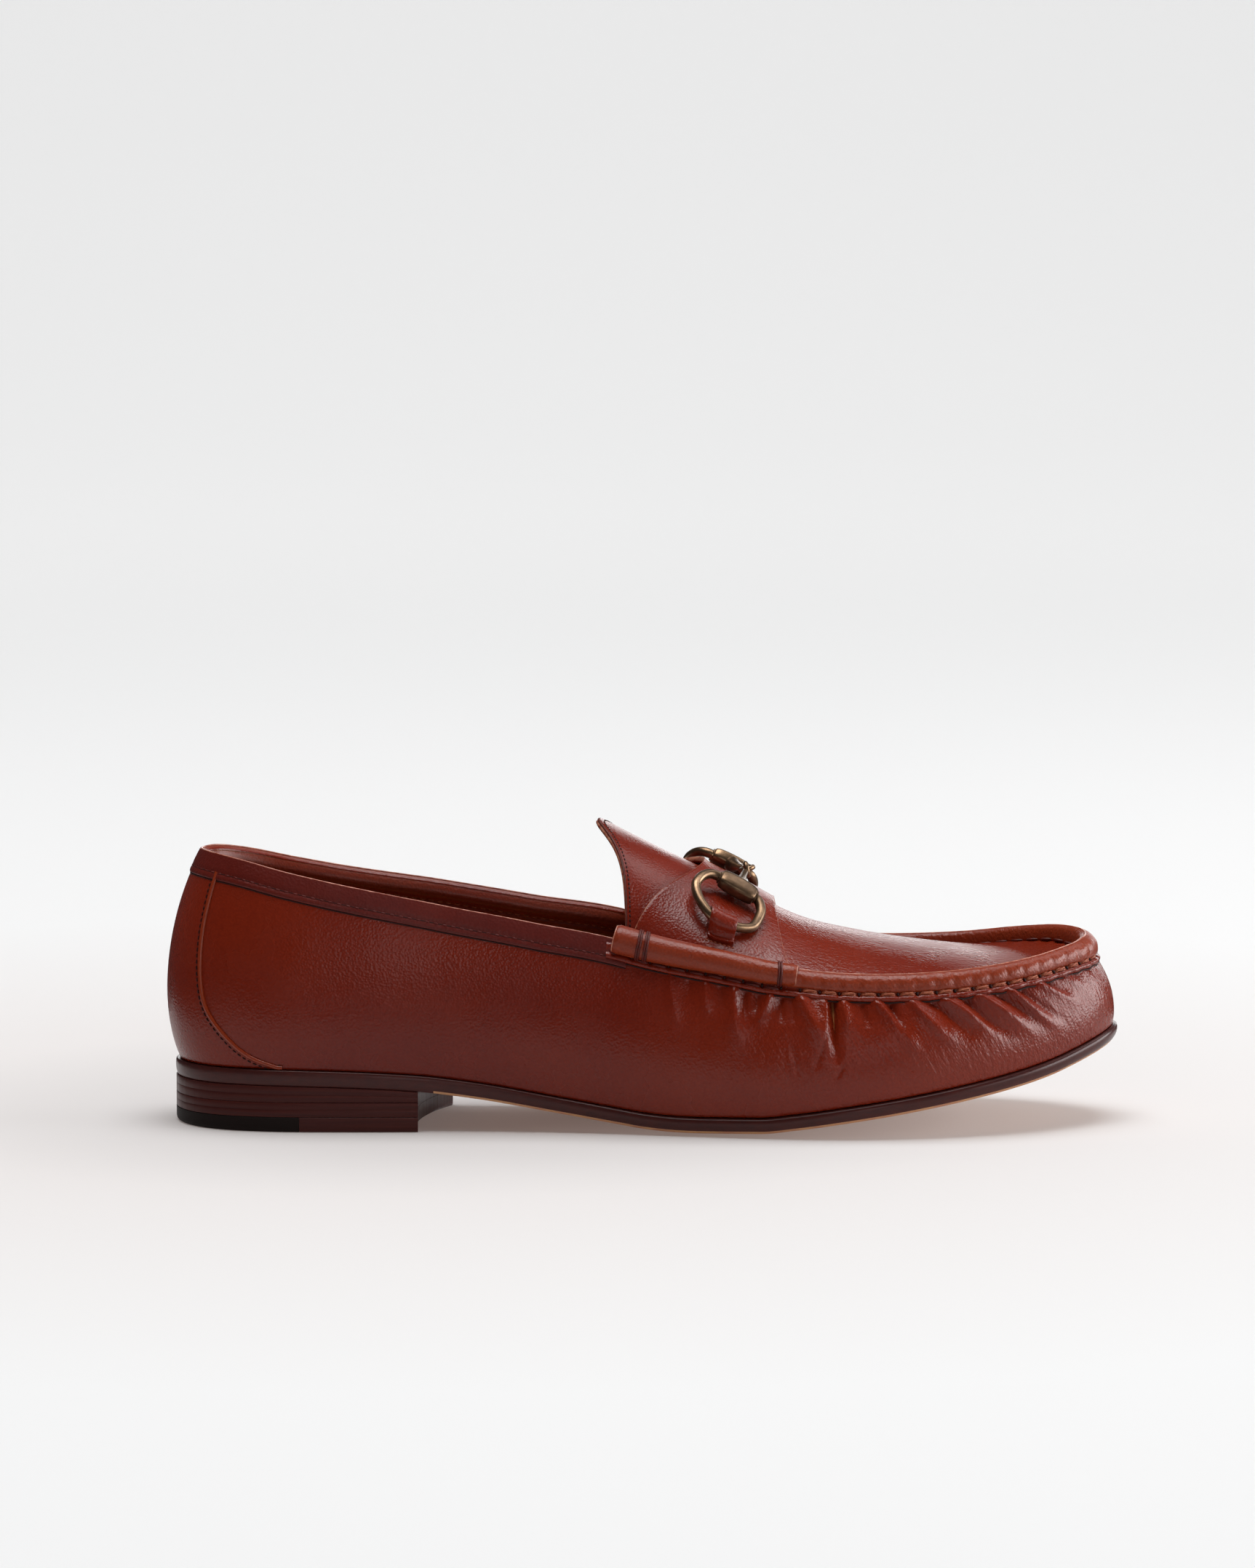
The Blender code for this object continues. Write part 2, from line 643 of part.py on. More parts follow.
def wall_grids(stations, grown=0.0, thickness=UPPER_WALL):
    """Outer and inner grids of the wall, from the sole up."""
    u = np.arange(stations)[:, None] * LOOP / stations
    width, step = raised(u)
    edge_t = wall_at_depth(u, width)
    shares = np.array([0.0, 0.13, 0.28, 0.45, 0.62, 0.80])[None, :]
    t = np.concatenate([edge_t * shares, edge_t, edge_t, (edge_t + 1) / 2, np.ones_like(u)], 1)
    out = np.concatenate([np.zeros((stations, shares.size + 1)), np.repeat(step, 3, 1)], 1)
    t[:, -3] = t[:, -4] + 0.012
    normal = wall_normal(u, t)
    outer = wall_point(u, t) + normal * (out + grown)[..., None]
    inner = wall_point(u, t) - normal * thickness
    floor = sole_top(inner[:, 0, 0], inner[:, 0, 1]) + GAP
    inner[:, 0, 2] = floor
    outer[:, 0, 2] = sole_top(outer[:, 0, 0], outer[:, 0, 1]) + GAP
    return outer, inner


def build_wall(name, stations=68, grown=0.0, thickness=UPPER_WALL):
    """The vamp and quarters as one ring, with a rounded top edge."""
    outer, inner = wall_grids(stations, grown, thickness)
    crest = (outer[:, -1] + inner[:, -1]) / 2
    crest[:, 2] += (thickness + BINDING_STEP) * 0.35
    outer = np.concatenate([outer, crest[:, None]], 1)
    inner = np.concatenate([inner, crest[:, None]], 1)
    return thick_sheet(name, outer, inner, "chestnut_leather", wrap=True)


def build_plug(name, rows=23, grown=0.0, thickness=UPPER_WALL, start=0.0):
    """The apron, which runs on as the tongue."""
    a = np.linspace(0, len(ARCHES) - 1, rows)[:, None]
    a[0] = start
    turn = np.linspace(0, np.pi, APRON_COLUMNS)[None, :]
    normal = arch_normal(a, turn)
    point = arch_point(a, turn)
    return thick_sheet(name, point + normal * grown, point - normal * thickness, "chestnut_leather")


def seam_path(sections, count, out=0.0, up=0.0):
    """Points along the apron seam and the direction out of it."""
    u = np.linspace(*sections, count)
    normal = wall_normal(u, np.ones_like(u))
    path = top_line(u) + normal * out + np.array([0, 0, up])
    return u, path, normal


def roll_radius(u):
    """The raised seam's radius: small under the saddle strap's ends, full round the toe."""
    section = np.abs((u + LOOP / 2) % LOOP - LOOP / 2)
    hidden, bare = ROLL_SECTIONS[1] - 0.15, ROLL_SECTIONS[1] + 0.05
    full = HIDDEN_ROLL_RADIUS + (ROLL_RADIUS - HIDDEN_ROLL_RADIUS) * smoothstep(hidden, bare, section)
    return full * (1 + 0.22 * smoothstep(13.5, LAST_SECTION, section))


def build_roll(name, grown=0.0, longer=0.0, count=50, sides=7):
    first = ROLL_SECTIONS[0] - longer
    u, path, normal = seam_path((first, LOOP - first), count, out=0.0004, up=0.0002)
    return tube(name, rings_along(path, normal, roll_radius(u) + grown, sides), "chestnut_leather")


def counter_route(side, count=13):
    """Places on the wall along the counter's raised seam: u and t."""
    row = through(COUNTER_SEAM, np.linspace(0, len(COUNTER_SEAM) - 1, count))
    t, distance = row[:, 0], row[:, 1] * SHOE_LENGTH
    u = np.empty(count)
    places = np.linspace(0.2, 5.0, 97)
    for i in range(count):
        xs = wall_point(places, np.full(places.shape, t[i]))[:, 0]
        u[i] = np.interp(distance[i], xs, places)
    return side * u, np.clip(t, 0.012, 0.95)


def build_counter_seam(name, side):
    u, t = counter_route(side)
    normal = wall_normal(u, t)
    path = wall_point(u, t) + normal * COUNTER_RIDGE_RADIUS * 0.1
    rings = rings_along(path, normal, np.full(len(u), COUNTER_RIDGE_RADIUS), 5)
    return tube(name, rings, "chestnut_leather")


def build_upper():
    upper = build_wall("upper")
    combine(upper, build_plug("upper_apron"), "UNION")
    combine(upper, build_roll("upper_apron_seam"), "UNION")
    for side, word in ((1, "lateral"), (-1, "medial")):
        combine(upper, build_counter_seam("upper_counter_seam_" + word, side), "UNION")
    return upper


def strap_top():
    """How far the strap's outer face stands off the apron."""
    return GAP * 2 + STRAP_THICKNESS


def strap_grids(low, high, rows=9):
    """The saddle strap's two faces, low and high above the apron."""
    turn = np.linspace(0, np.pi, APRON_COLUMNS)[None, 1:-1]
    rise = np.sin(turn)
    back = STRAP_BACK[0] + (STRAP_BACK[1] - STRAP_BACK[0]) * rise**STRAP_BACK_HOLLOW
    front = STRAP_FRONT[0] + (STRAP_FRONT[1] - STRAP_FRONT[0]) * rise
    share = np.linspace(0, 1, rows)[:, None]
    a = back + (front - back) * share
    turn = np.broadcast_to(turn, a.shape)
    point, normal = arch_point(a, turn), arch_normal(a, turn)
    return point + normal * high, point + normal * low


def build_bar(name, side, sections):
    """The strap's rolled end, sewn over the apron seam."""
    count = 9
    u, path, normal = seam_path([side * s for s in sections], count, out=0.0012, up=0.0006)
    radii = np.linspace(BAR_RADIUS_BACK, BAR_RADIUS_FRONT, count)
    rings = rings_along(path, normal, radii, 10)
    inward = np.minimum(np.sum((rings - path[:, None]) * normal[:, None], -1, keepdims=True), 0)
    rings = rings - normal[:, None] * inward * BAR_FLATTENING
    for end in (0, -1):
        rings[end] = path[end] + (rings[end] - path[end]) * 0.86
    return tube(name, rings, "chestnut_leather")


def build_saddle():
    """The strap over the instep, whose rolled ends are cut to sit on the upper."""
    depth = BAR_RADIUS_BACK
    swollen = [
        build_wall("clearance_wall", 68, GAP, depth),
        build_plug("clearance_apron", 23, GAP, depth, -0.15),
        build_roll("clearance_seam", GAP, 0.08),
    ]
    outer, inner = strap_grids(strap_top() - STRAP_THICKNESS, strap_top())
    strap = thick_sheet("saddle_strap", outer, inner, "chestnut_leather")
    for side, word in ((1, "lateral"), (-1, "medial")):
        bar = build_bar("strap_roll_" + word, side, BAR_SECTIONS[word])
        combine(strap, bar, "UNION")
    for tool in swollen:
        combine(strap, tool, "DIFFERENCE")
    return strap


@functools.lru_cache
def side_axes(side):
    """For one half of the bit: its middle, its barrel's centre, the barrel's way along the shoe, the
    way the arm reaches, the way the ring hangs, and the ring's normal away from the strap."""
    half = HALVES[side]
    crown = arch_point(3.0, np.pi / 2)[2]
    middle = np.array(
        [
            BIT_MIDDLE[0] * SHOE_LENGTH,
            BIT_MIDDLE[1] * BALL_WIDTH / 2,
            crown + BIT_MIDDLE[2] * BARREL_HEIGHT,
        ]
    )
    along = np.array([math.cos(half.slope), 0, -math.sin(half.slope)])
    outside = np.array([0, half.sign, 0])
    off = np.array([math.sin(half.slope), 0, math.cos(half.slope)])
    barrel = middle + ARM_REACH * tilted(outside, off, half.arm_fall)
    barrel = barrel - along * half.back * BARREL_LENGTH
    fall = tilted(outside, off, ring_fall(barrel, along, outside, off))
    normal = unit(off - fall * np.dot(off, fall))
    return middle, barrel, along, unit(barrel - middle), fall, normal


def tilted(outside, off, angle):
    """The direction that falls by an angle from level."""
    return outside * math.cos(angle) - off * math.sin(angle)


def ring_fall(barrel, along, outside, off):
    """The angle at which a ring hangs from its barrel: it stops just over the strap."""
    clear = strap_top() + WIRE_RADIUS + RING_CLEARANCE
    high, steep = -STEEPEST_RING, STEEPEST_RING
    for _ in range(14):
        angle = (high + steep) / 2
        path = ring_route(barrel, along, tilted(outside, off, angle), 24)
        if min(arch_under(point)[2] for point in path) < clear:
            steep = angle
        else:
            high = angle
    return high


def ring_route(barrel, along, fall, count):
    route = through(RING_ROUTE, np.linspace(0, len(RING_ROUTE), count, endpoint=False), True)
    route = route * BARREL_LENGTH
    return barrel + route[:, :1] * along + route[:, 1:] * fall


def ring_path(side, count=32):
    _, barrel, along, _, fall, normal = side_axes(side)
    return ring_route(barrel, along, fall, count), normal


def build_ring(side):
    path, normal = ring_path(side)
    across = np.broadcast_to(normal, path.shape)
    closed_tube(f"bit_ring_{side}", path, across, WIRE_RADIUS, 7, "antique_brass")


def closed_tube(name, path, across, radius, sides, material_name):
    along = unit(np.roll(path, -1, 0) - np.roll(path, 1, 0))
    side = unit(across - along * np.sum(across * along, -1, keepdims=True))
    up = np.cross(along, side)
    turn = np.linspace(0, 2 * np.pi, sides, endpoint=False)[None, :, None]
    rings = path[:, None] + radius * (side[:, None] * np.cos(turn) + up[:, None] * np.sin(turn))
    return tube(name, rings, material_name, closed=True)


def build_link(side):
    """A barrel that turns on its ring, an arm, and the eye at the middle of the bit."""
    middle, barrel, along, arm, _, up = side_axes(side)
    sign = HALVES[side].sign
    ends = np.array([-0.50, -0.46, -0.2, 0.2, 0.46, 0.50]) * BARREL_LENGTH
    sizes = np.array([0.68, 0.84, 1.0, 1.0, 0.84, 0.68])
    turn = np.linspace(0, 2 * np.pi, 12, endpoint=False) + np.pi / 12
    square = np.stack([np.cos(turn), np.sin(turn)], -1)
    square = np.sign(square) * np.abs(square) ** 0.62
    level_side = unit(np.cross(along, up))
    rings = [
        barrel
        + along * end
        + level_side * square[:, :1] * BARREL_WIDTH / 2 * size
        + up * square[:, 1:] * BARREL_HEIGHT / 2 * size
        for end, size in zip(ends, sizes)
    ]
    link = tube(f"bit_link_{side}", rings, "antique_brass")

    reach = np.linalg.norm(barrel - middle)
    shares = np.array([0.0, 0.24, 0.55, 0.86])
    radii = np.array([1.00, 0.80, 0.50, 0.40]) * BARREL_HEIGHT / 2
    path = barrel - arm * (shares * reach)[:, None]
    across = np.broadcast_to(up, path.shape)
    combine(link, tube(f"arm_{side}", rings_along(path, across, radii, 10), "antique_brass"), "UNION")

    outside = np.array([0, sign, 0])
    slope = HALVES["lateral"].slope - sign * math.radians(45)
    plane = np.array([math.cos(slope), 0, -math.sin(slope)])
    centre = middle + outside * EYE_RADIUS / 2
    turn = np.linspace(0, 2 * np.pi, 12, endpoint=False)[:, None]
    eye_path = centre + EYE_RADIUS * (np.cos(turn) * outside + np.sin(turn) * plane)
    flat = np.broadcast_to(np.cross(outside, plane), eye_path.shape)
    combine(link, closed_tube(f"eye_{side}", eye_path, flat, EYE_WIRE, 6, "antique_brass"), "UNION")

    bore_radius = WIRE_RADIUS + GAP
    reach = np.array([-1.0, 1.0]) * BARREL_LENGTH
    path = barrel + reach[:, None] * along
    rings = rings_along(path, np.array([up, up]), [bore_radius, bore_radius], 12)
    combine(link, tube(f"bore_{side}", rings, "antique_brass"), "DIFFERENCE")


def arch_under(point):
    """The place on the apron nearest a point: a, turn, and the height over it."""
    a, turn, span = 3.0, np.pi / 2, 1.0
    for _ in range(7):
        places = np.clip(a + np.linspace(-2, 2, 9) * span, 0, len(ARCHES) - 1)[:, None]
        turns = np.clip(turn + np.linspace(-1.6, 1.6, 17) * span, 0, np.pi)[None, :]
        distance = np.linalg.norm(arch_point(places, turns) - point, axis=-1)
        i, j = np.unravel_index(np.argmin(distance), distance.shape)
        a, turn, span = places[i, 0], turns[0, j], span * 0.35
    return a, turn, distance[i, j]


def build_keeper(side):
    """A leather band over the ring, whose ends lie on the strap."""
    path, _ = ring_path(side, 400)
    _, barrel, along, _, fall, _ = side_axes(side)
    low = path[np.dot(path - barrel, fall) > 0.8 * BARREL_LENGTH]
    reach = np.dot(low - barrel, along) / BARREL_LENGTH
    base = strap_top()
    grids = [[], []]
    for share in np.linspace(*KEEPER_SPAN, 4):
        wire = low[np.argmin(np.abs(reach - share))]
        a, turn, height = arch_under(wire)
        height -= base
        scale = np.linalg.norm(arch_point(a, turn + 0.01) - arch_point(a, turn - 0.01)) / 0.02
        clear = (WIRE_RADIUS + GAP) * 1.08
        route = np.array(
            [
                (-clear * 1.55, KEEPER_LIFT),
                (-clear * 1.05, height * 0.75),
                (-clear * 0.78, height + clear * 0.64),
                (0, height + clear),
                (clear * 0.78, height + clear * 0.64),
                (clear * 1.05, height * 0.75),
                (clear * 1.75, KEEPER_LIFT),
                (KEEPER_FOOT, KEEPER_LIFT),
            ]
        )
        along_route = unit(np.gradient(route, axis=0))
        outer = route + np.stack([-along_route[:, 1], along_route[:, 0]], -1) * KEEPER_THICKNESS
        for grid, line in zip(grids, (outer, route)):
            turns = turn + HALVES[side].sign * line[:, 0] / scale
            places = np.full(turns.shape, a)
            normal = arch_normal(places, turns)
            grid.append(arch_point(places, turns) + normal * (base + line[:, 1:]))
    thick_sheet(f"keeper_{side}", np.array(grids[0]), np.array(grids[1]), "chestnut_leather")


def place_on_origin():
    """Moves everything so that the origin lies under the middle of the shoe, on the floor."""
    bpy.context.view_layer.update()
    graph = bpy.context.evaluated_depsgraph_get()
    corners = [
        vertex.co
        for obj in bpy.data.objects
        if not obj.hide_render
        for vertex in obj.evaluated_get(graph).data.vertices
    ]
    low, high = np.min(corners, axis=0), np.max(corners, axis=0)
    for obj in bpy.data.objects:
        obj.location = (-(low[0] + high[0]) / 2, -(low[1] + high[1]) / 2, -low[2])


def main():
    clear_scene()
    build_outsole()
    build_heel()
    build_insole()
    build_upper()
    build_saddle()
    for side in ("lateral", "medial"):
        build_ring(side)
        build_link(side)
        build_keeper(side)
    place_on_origin()


main()
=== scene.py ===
import functools
import math
from collections import namedtuple

import bmesh
import bpy
import numpy as np
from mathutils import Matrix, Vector


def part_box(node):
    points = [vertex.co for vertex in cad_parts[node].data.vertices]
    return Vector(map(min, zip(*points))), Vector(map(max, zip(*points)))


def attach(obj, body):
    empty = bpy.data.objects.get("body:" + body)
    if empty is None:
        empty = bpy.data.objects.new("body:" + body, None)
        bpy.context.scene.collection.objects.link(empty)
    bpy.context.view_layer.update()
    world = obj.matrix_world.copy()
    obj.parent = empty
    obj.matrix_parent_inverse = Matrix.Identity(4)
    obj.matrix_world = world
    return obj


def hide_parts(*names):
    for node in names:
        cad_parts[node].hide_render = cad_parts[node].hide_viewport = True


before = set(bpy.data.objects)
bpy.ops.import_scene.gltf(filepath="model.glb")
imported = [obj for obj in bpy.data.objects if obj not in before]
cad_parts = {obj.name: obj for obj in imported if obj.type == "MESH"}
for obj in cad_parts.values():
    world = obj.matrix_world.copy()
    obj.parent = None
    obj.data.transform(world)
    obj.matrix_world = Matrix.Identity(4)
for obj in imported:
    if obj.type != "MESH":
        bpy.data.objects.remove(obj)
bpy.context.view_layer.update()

# Main sizes of the shoe.
SHOE_LENGTH = 0.300
BALL_WIDTH = 0.103
HEEL_WIDTH = 0.067
HEEL_HEIGHT = 0.015
TOE_SPRING = 0.026
BACK_HEIGHT = 0.066
TOE_HEIGHT = 0.030
INSTEP_RISE = 0.0335
SWELL = 0.010

# Sole, heel and insole.
SOLE_THICKNESS = 0.005
SOLE_CROWN = 0.002
FLAT_SHARE = 0.52
HEEL_LIFT_THICKNESS = 0.0046
TOP_PIECE_THICKNESS = 0.0048
HEEL_INSET = 0.0002
HEEL_EDGE_ROUND = 0.0016
BREAST_LATERAL = 0.078
BREAST_MEDIAL = 0.0875
BREAST_HOLLOW = 0.0045
RUBBER_LENGTH = 0.0405
INSOLE_THICKNESS = 0.003
INSOLE_LIFT = 0.0005

# Upper, saddle strap and their seams.
UPPER_WALL = 0.0021
FEATHER_MARGIN = 0.0014
BINDING_WIDTH = 0.0075
BINDING_STEP = 0.0006
LIP_WIDTH = 0.0060
LIP_STEP = 0.0011
ROLL_RADIUS = 0.0029
HIDDEN_ROLL_RADIUS = 0.0020
PLUG_DROP = 0.0010
COUNTER_RIDGE_RADIUS = 0.0008
STRAP_THICKNESS = 0.0017
BAR_RADIUS_BACK = 0.0047
BAR_RADIUS_FRONT = 0.0036
BAR_FLATTENING = 0.45

# Bit and its keepers.
WIRE_RADIUS = 0.00145
BARREL_LENGTH = 0.0125
BARREL_WIDTH = 0.0068
BARREL_HEIGHT = 0.0050
ARM_REACH = 0.0205
EYE_RADIUS = 0.0019
EYE_WIRE = 0.00075
RING_CLEARANCE = 0.0003
KEEPER_FOOT = 0.0052
KEEPER_LIFT = 0.0005
KEEPER_THICKNESS = 0.0010

# Clearances between pieces.
GAP = 0.0003
LIFT_GAP = 0.0001

# One row for each section from heel to toe. Each value is a share of a named size: x and top_x of
# SHOE_LENGTH, widths of half the named width, walls of the named height, low and high of SWELL.
# The sole edge comes first, then the top line: the collar up to the throat, then the apron seam.
Section = namedtuple(
    "Section",
    "width x lateral medial top_x top_lateral top_medial"
    " height wall_lateral wall_medial low_lateral low_medial high_lateral high_medial",
)
SECTIONS = [
    Section("heel", 0.000, 0.000, 0.000, 0.028, 0.000, 0.000, "back", 1.000, 1.000, 0.72, 0.72, 1.15, 1.15),
    Section("heel", 0.012, 0.448, 0.448, 0.043, 0.385, 0.385, "back", 0.997, 0.995, 0.70, 0.70, 1.10, 1.10),
    Section("heel", 0.047, 0.790, 0.790, 0.077, 0.625, 0.625, "back", 0.972, 0.966, 0.60, 0.60, 0.95, 0.95),
    Section("heel", 0.107, 0.970, 0.970, 0.127, 0.776, 0.776, "back", 0.920, 0.915, 0.45, 0.45, 0.75, 0.75),
    Section("heel", 0.193, 1.000, 0.985, 0.200, 0.860, 0.851, "back", 0.860, 0.864, 0.38, 0.38, 0.62, 0.60),
    Section("heel", 0.283, 0.985, 0.925, 0.287, 0.875, 0.851, "back", 0.811, 0.836, 0.38, 0.42, 0.60, 0.60),
    Section("ball", 0.373, 0.656, 0.563, 0.377, 0.598, 0.563, "back", 0.799, 0.830, 0.45, 0.55, 0.65, 0.62),
    Section("ball", 0.460, 0.718, 0.583, 0.463, 0.650, 0.612, "back", 0.800, 0.839, 0.50, 0.65, 0.70, 0.66),
    Section("ball", 0.543, 0.825, 0.699, 0.543, 0.718, 0.670, "back", 0.763, 0.803, 0.55, 0.62, 0.80, 0.75),
    Section("ball", 0.627, 0.932, 0.864, 0.623, 0.786, 0.748, "toe", 1.523, 1.613, 0.55, 0.52, 0.90, 0.85),
    Section("ball", 0.707, 0.990, 0.980, 0.700, 0.821, 0.816, "toe", 1.340, 1.440, 0.48, 0.45, 0.95, 0.90),
    Section("ball", 0.787, 0.951, 1.000, 0.773, 0.796, 0.835, "toe", 1.207, 1.297, 0.40, 0.38, 0.92, 0.90),
    Section("ball", 0.857, 0.825, 0.925, 0.840, 0.680, 0.765, "toe", 1.100, 1.197, 0.30, 0.30, 0.90, 0.90),
    Section("ball", 0.917, 0.630, 0.785, 0.893, 0.520, 0.630, "toe", 1.030, 1.143, 0.22, 0.22, 0.88, 0.88),
    Section("ball", 0.967, 0.365, 0.545, 0.934, 0.305, 0.450, "toe", 0.974, 1.074, 0.15, 0.15, 0.86, 0.86),
    Section("ball", 0.992, 0.150, 0.335, 0.958, 0.125, 0.275, "toe", 0.938, 0.985, 0.10, 0.10, 0.85, 0.85),
    Section("ball", 1.000, -0.090, 0.090, 0.966, -0.075, 0.075, "toe", 0.930, 0.930, 0.10, 0.10, 0.85, 0.85),
]
LAST_SECTION = len(SECTIONS) - 1

# Height of the outsole's underside above the floor along its middle, as shares of the named size.
SOLE_PROFILE = [
    (0.000, 1.000, "heel"),
    (0.090, 0.987, "heel"),
    (0.180, 0.947, "heel"),
    (0.257, 0.865, "heel"),
    (0.320, 0.715, "heel"),
    (0.403, 0.430, "heel"),
    (0.465, 0.200, "heel"),
    (0.500, 0.075, "heel"),
    (0.530, 0.018, "heel"),
    (0.560, 0.000, "heel"),
    (0.617, 0.000, "toe"),
    (0.655, 0.044, "toe"),
    (0.710, 0.135, "toe"),
    (0.763, 0.236, "toe"),
    (0.845, 0.430, "toe"),
    (0.900, 0.591, "toe"),
    (0.955, 0.798, "toe"),
    (1.000, 1.000, "toe"),
]

# Arches of the apron and tongue, from the tongue's peak to the toe: the section of the apron seam
# where each one stands, how far its crown leans to the heel (of SHOE_LENGTH), its rise (of
# INSTEP_RISE), the crown's shift to the inner side (of half BALL_WIDTH), and its fullness.
Arch = namedtuple("Arch", "section lean rise shift fullness")
ARCHES = [
    Arch(7.20, 0.0290, 1.065, 0.06, 1.30),
    Arch(7.60, 0.0080, 0.895, 0.08, 1.32),
    Arch(8.20, 0.0020, 0.750, 0.08, 1.40),
    Arch(8.80, 0.0000, 0.610, 0.08, 1.60),
    Arch(9.50, 0.0000, 0.425, 0.08, 1.65),
    Arch(10.3, 0.0000, 0.320, 0.07, 1.60),
    Arch(11.2, 0.0000, 0.225, 0.05, 1.70),
    Arch(12.2, 0.0000, 0.110, 0.03, 1.80),
    Arch(13.2, 0.0000, 0.020, 0.00, 1.80),
    Arch(14.2, 0.0000, -0.030, 0.00, 1.80),
    Arch(15.0, 0.0000, -0.040, 0.00, 1.80),
    Arch(15.6, 0.0000, -0.030, 0.00, 1.80),
]
LEAN_SHARPNESS = 7.0

# Route of the counter's raised seam on each side: height up the wall and distance from the back,
# as shares of the back's wall height and of SHOE_LENGTH.
COUNTER_SEAM = [
    (0.00, 0.1180),
    (0.08, 0.0830),
    (0.20, 0.0560),
    (0.33, 0.0370),
    (0.48, 0.0310),
    (0.65, 0.0330),
    (0.80, 0.0400),
    (0.93, 0.0480),
]

# Where the saddle strap's edges lie on the arches, at its ends and over the crown.
STRAP_BACK = (0.10, 2.00)
STRAP_BACK_HOLLOW = 1.8
STRAP_FRONT = (3.90, 3.45)
BAR_SECTIONS = {"lateral": (7.04, 9.42), "medial": (7.34, 9.42)}
ROLL_SECTIONS = (7.35, 9.30)

# Centreline of a ring from its barrel round: along the barrel and away from it, of BARREL_LENGTH.
RING_ROUTE = [
    (-0.50, -0.01),
    (0.00, 0.00),
    (0.48, 0.01),
    (0.68, 0.13),
    (0.81, 0.48),
    (0.77, 1.08),
    (0.50, 1.38),
    (0.10, 1.52),
    (-0.28, 1.53),
    (-0.62, 1.32),
    (-0.88, 1.02),
    (-0.99, 0.70),
    (-0.93, 0.32),
    (-0.76, 0.07),
]
# How each half of the bit lies: the slope of its barrel, the fall of its arm from level, and how far
# its barrel stands towards the heel, of BARREL_LENGTH.
Half = namedtuple("Half", "sign slope arm_fall back")
HALVES = {
    "lateral": Half(-1, math.radians(30), math.radians(13.5), 0.08),
    "medial": Half(1, math.radians(27), math.radians(8.0), 0.34),
}
STEEPEST_RING = math.radians(75)
# Middle of the bit, as shares of SHOE_LENGTH, half BALL_WIDTH and the rise of its barrels.
BIT_MIDDLE = (0.606, 0.020, 1.46)
# Where the keepers hold the rings, as shares of BARREL_LENGTH along them.
KEEPER_SPAN = (-0.32, 0.36)


def monotone(xs, ys, x):
    """A smooth curve through the rows that never overshoots them."""
    xs, ys, x = np.asarray(xs, float), np.asarray(ys, float), np.asarray(x, float)
    step = np.diff(xs)
    slope = np.diff(ys) / step
    tangent = np.zeros(len(xs))
    rising = slope[:-1] * slope[1:] > 0
    both = np.where(rising, slope[:-1] + slope[1:], 1)
    tangent[1:-1] = np.where(rising, 2 * slope[:-1] * slope[1:] / both, 0)
    tangent[0], tangent[-1] = slope[0], slope[-1]
    i = np.clip(np.searchsorted(xs, x, side="right") - 1, 0, len(xs) - 2)
    t = np.clip((x - xs[i]) / step[i], 0, 1)
    return (
        ys[i] * (1 + 2 * t) * (1 - t) ** 2
        + ys[i + 1] * t * t * (3 - 2 * t)
        + step[i] * (tangent[i] * t * (1 - t) ** 2 + tangent[i + 1] * t * t * (t - 1))
    )


def through(rows, u, closed=False):
    """A Catmull-Rom curve through rows of values, at places u counted in rows."""
    rows, u = np.asarray(rows, float), np.asarray(u, float)
    n = len(rows)
    if closed:
        i = np.floor(u).astype(int)
    else:
        i = np.clip(np.floor(u).astype(int), 0, n - 2)
    t = (u - i)[..., None]

    def row(k):
        return rows[k % n] if closed else rows[np.clip(k, 0, n - 1)]

    a, b, c, d = row(i - 1), row(i), row(i + 1), row(i + 2)
    if not closed:
        a = np.where((i == 0)[..., None], 2 * b - c, a)
        d = np.where((i == n - 2)[..., None], 2 * c - b, d)
    return 0.5 * (2 * b + (c - a) * t + (2 * a - 5 * b + 4 * c - d) * t**2 + (3 * b - a - 3 * c + d) * t**3)


def smoothstep(low, high, x):
    """A soft step from 0 at low to 1 at high."""
    t = np.clip((x - low) / (high - low), 0, 1)
    return t * t * (3 - 2 * t)


def sole_under(x):
    """Height of the outsole's underside on its middle line."""
    sizes = {"heel": HEEL_HEIGHT, "toe": TOE_SPRING}
    xs = [row[0] * SHOE_LENGTH for row in SOLE_PROFILE]
    zs = [row[1] * sizes[row[2]] for row in SOLE_PROFILE]
    return monotone(xs, zs, x)


def sole_curl(x, y):
    """How much the forepart's edges rise above its flat middle."""
    half = BALL_WIDTH / 2
    out = np.clip((np.abs(y) / half - FLAT_SHARE) / (1 - FLAT_SHARE), 0, 1.1)
    return SOLE_CROWN * out**1.25 * smoothstep(0.36 * SHOE_LENGTH, 0.52 * SHOE_LENGTH, x)


def sole_bottom(x, y):
    return sole_under(x) + sole_curl(x, y)


def sole_top(x, y):
    return sole_bottom(x, y) + SOLE_THICKNESS


def loop_rows(lateral_row, medial_row):
    """Rows of a closed loop: heel back, outer side, toe tip, inner side."""
    out = [lateral_row(s) for s in SECTIONS]
    back = [medial_row(s) for s in SECTIONS[1:-1]][::-1]
    return np.array(out + back, float)


def half_width(section):
    return {"heel": HEEL_WIDTH, "ball": BALL_WIDTH}[section.width] / 2


def wall_height(section):
    return {"back": BACK_HEIGHT, "toe": TOE_HEIGHT}[section.height]


EDGE_ROWS = loop_rows(
    lambda s: (s.x * SHOE_LENGTH, -s.lateral * half_width(s)),
    lambda s: (s.x * SHOE_LENGTH, s.medial * half_width(s)),
)


TOP_ROWS = loop_rows(
    lambda s: (s.top_x * SHOE_LENGTH, -s.top_lateral * half_width(s), s.wall_lateral * wall_height(s)),
    lambda s: (s.top_x * SHOE_LENGTH, s.top_medial * half_width(s), s.wall_medial * wall_height(s)),
)


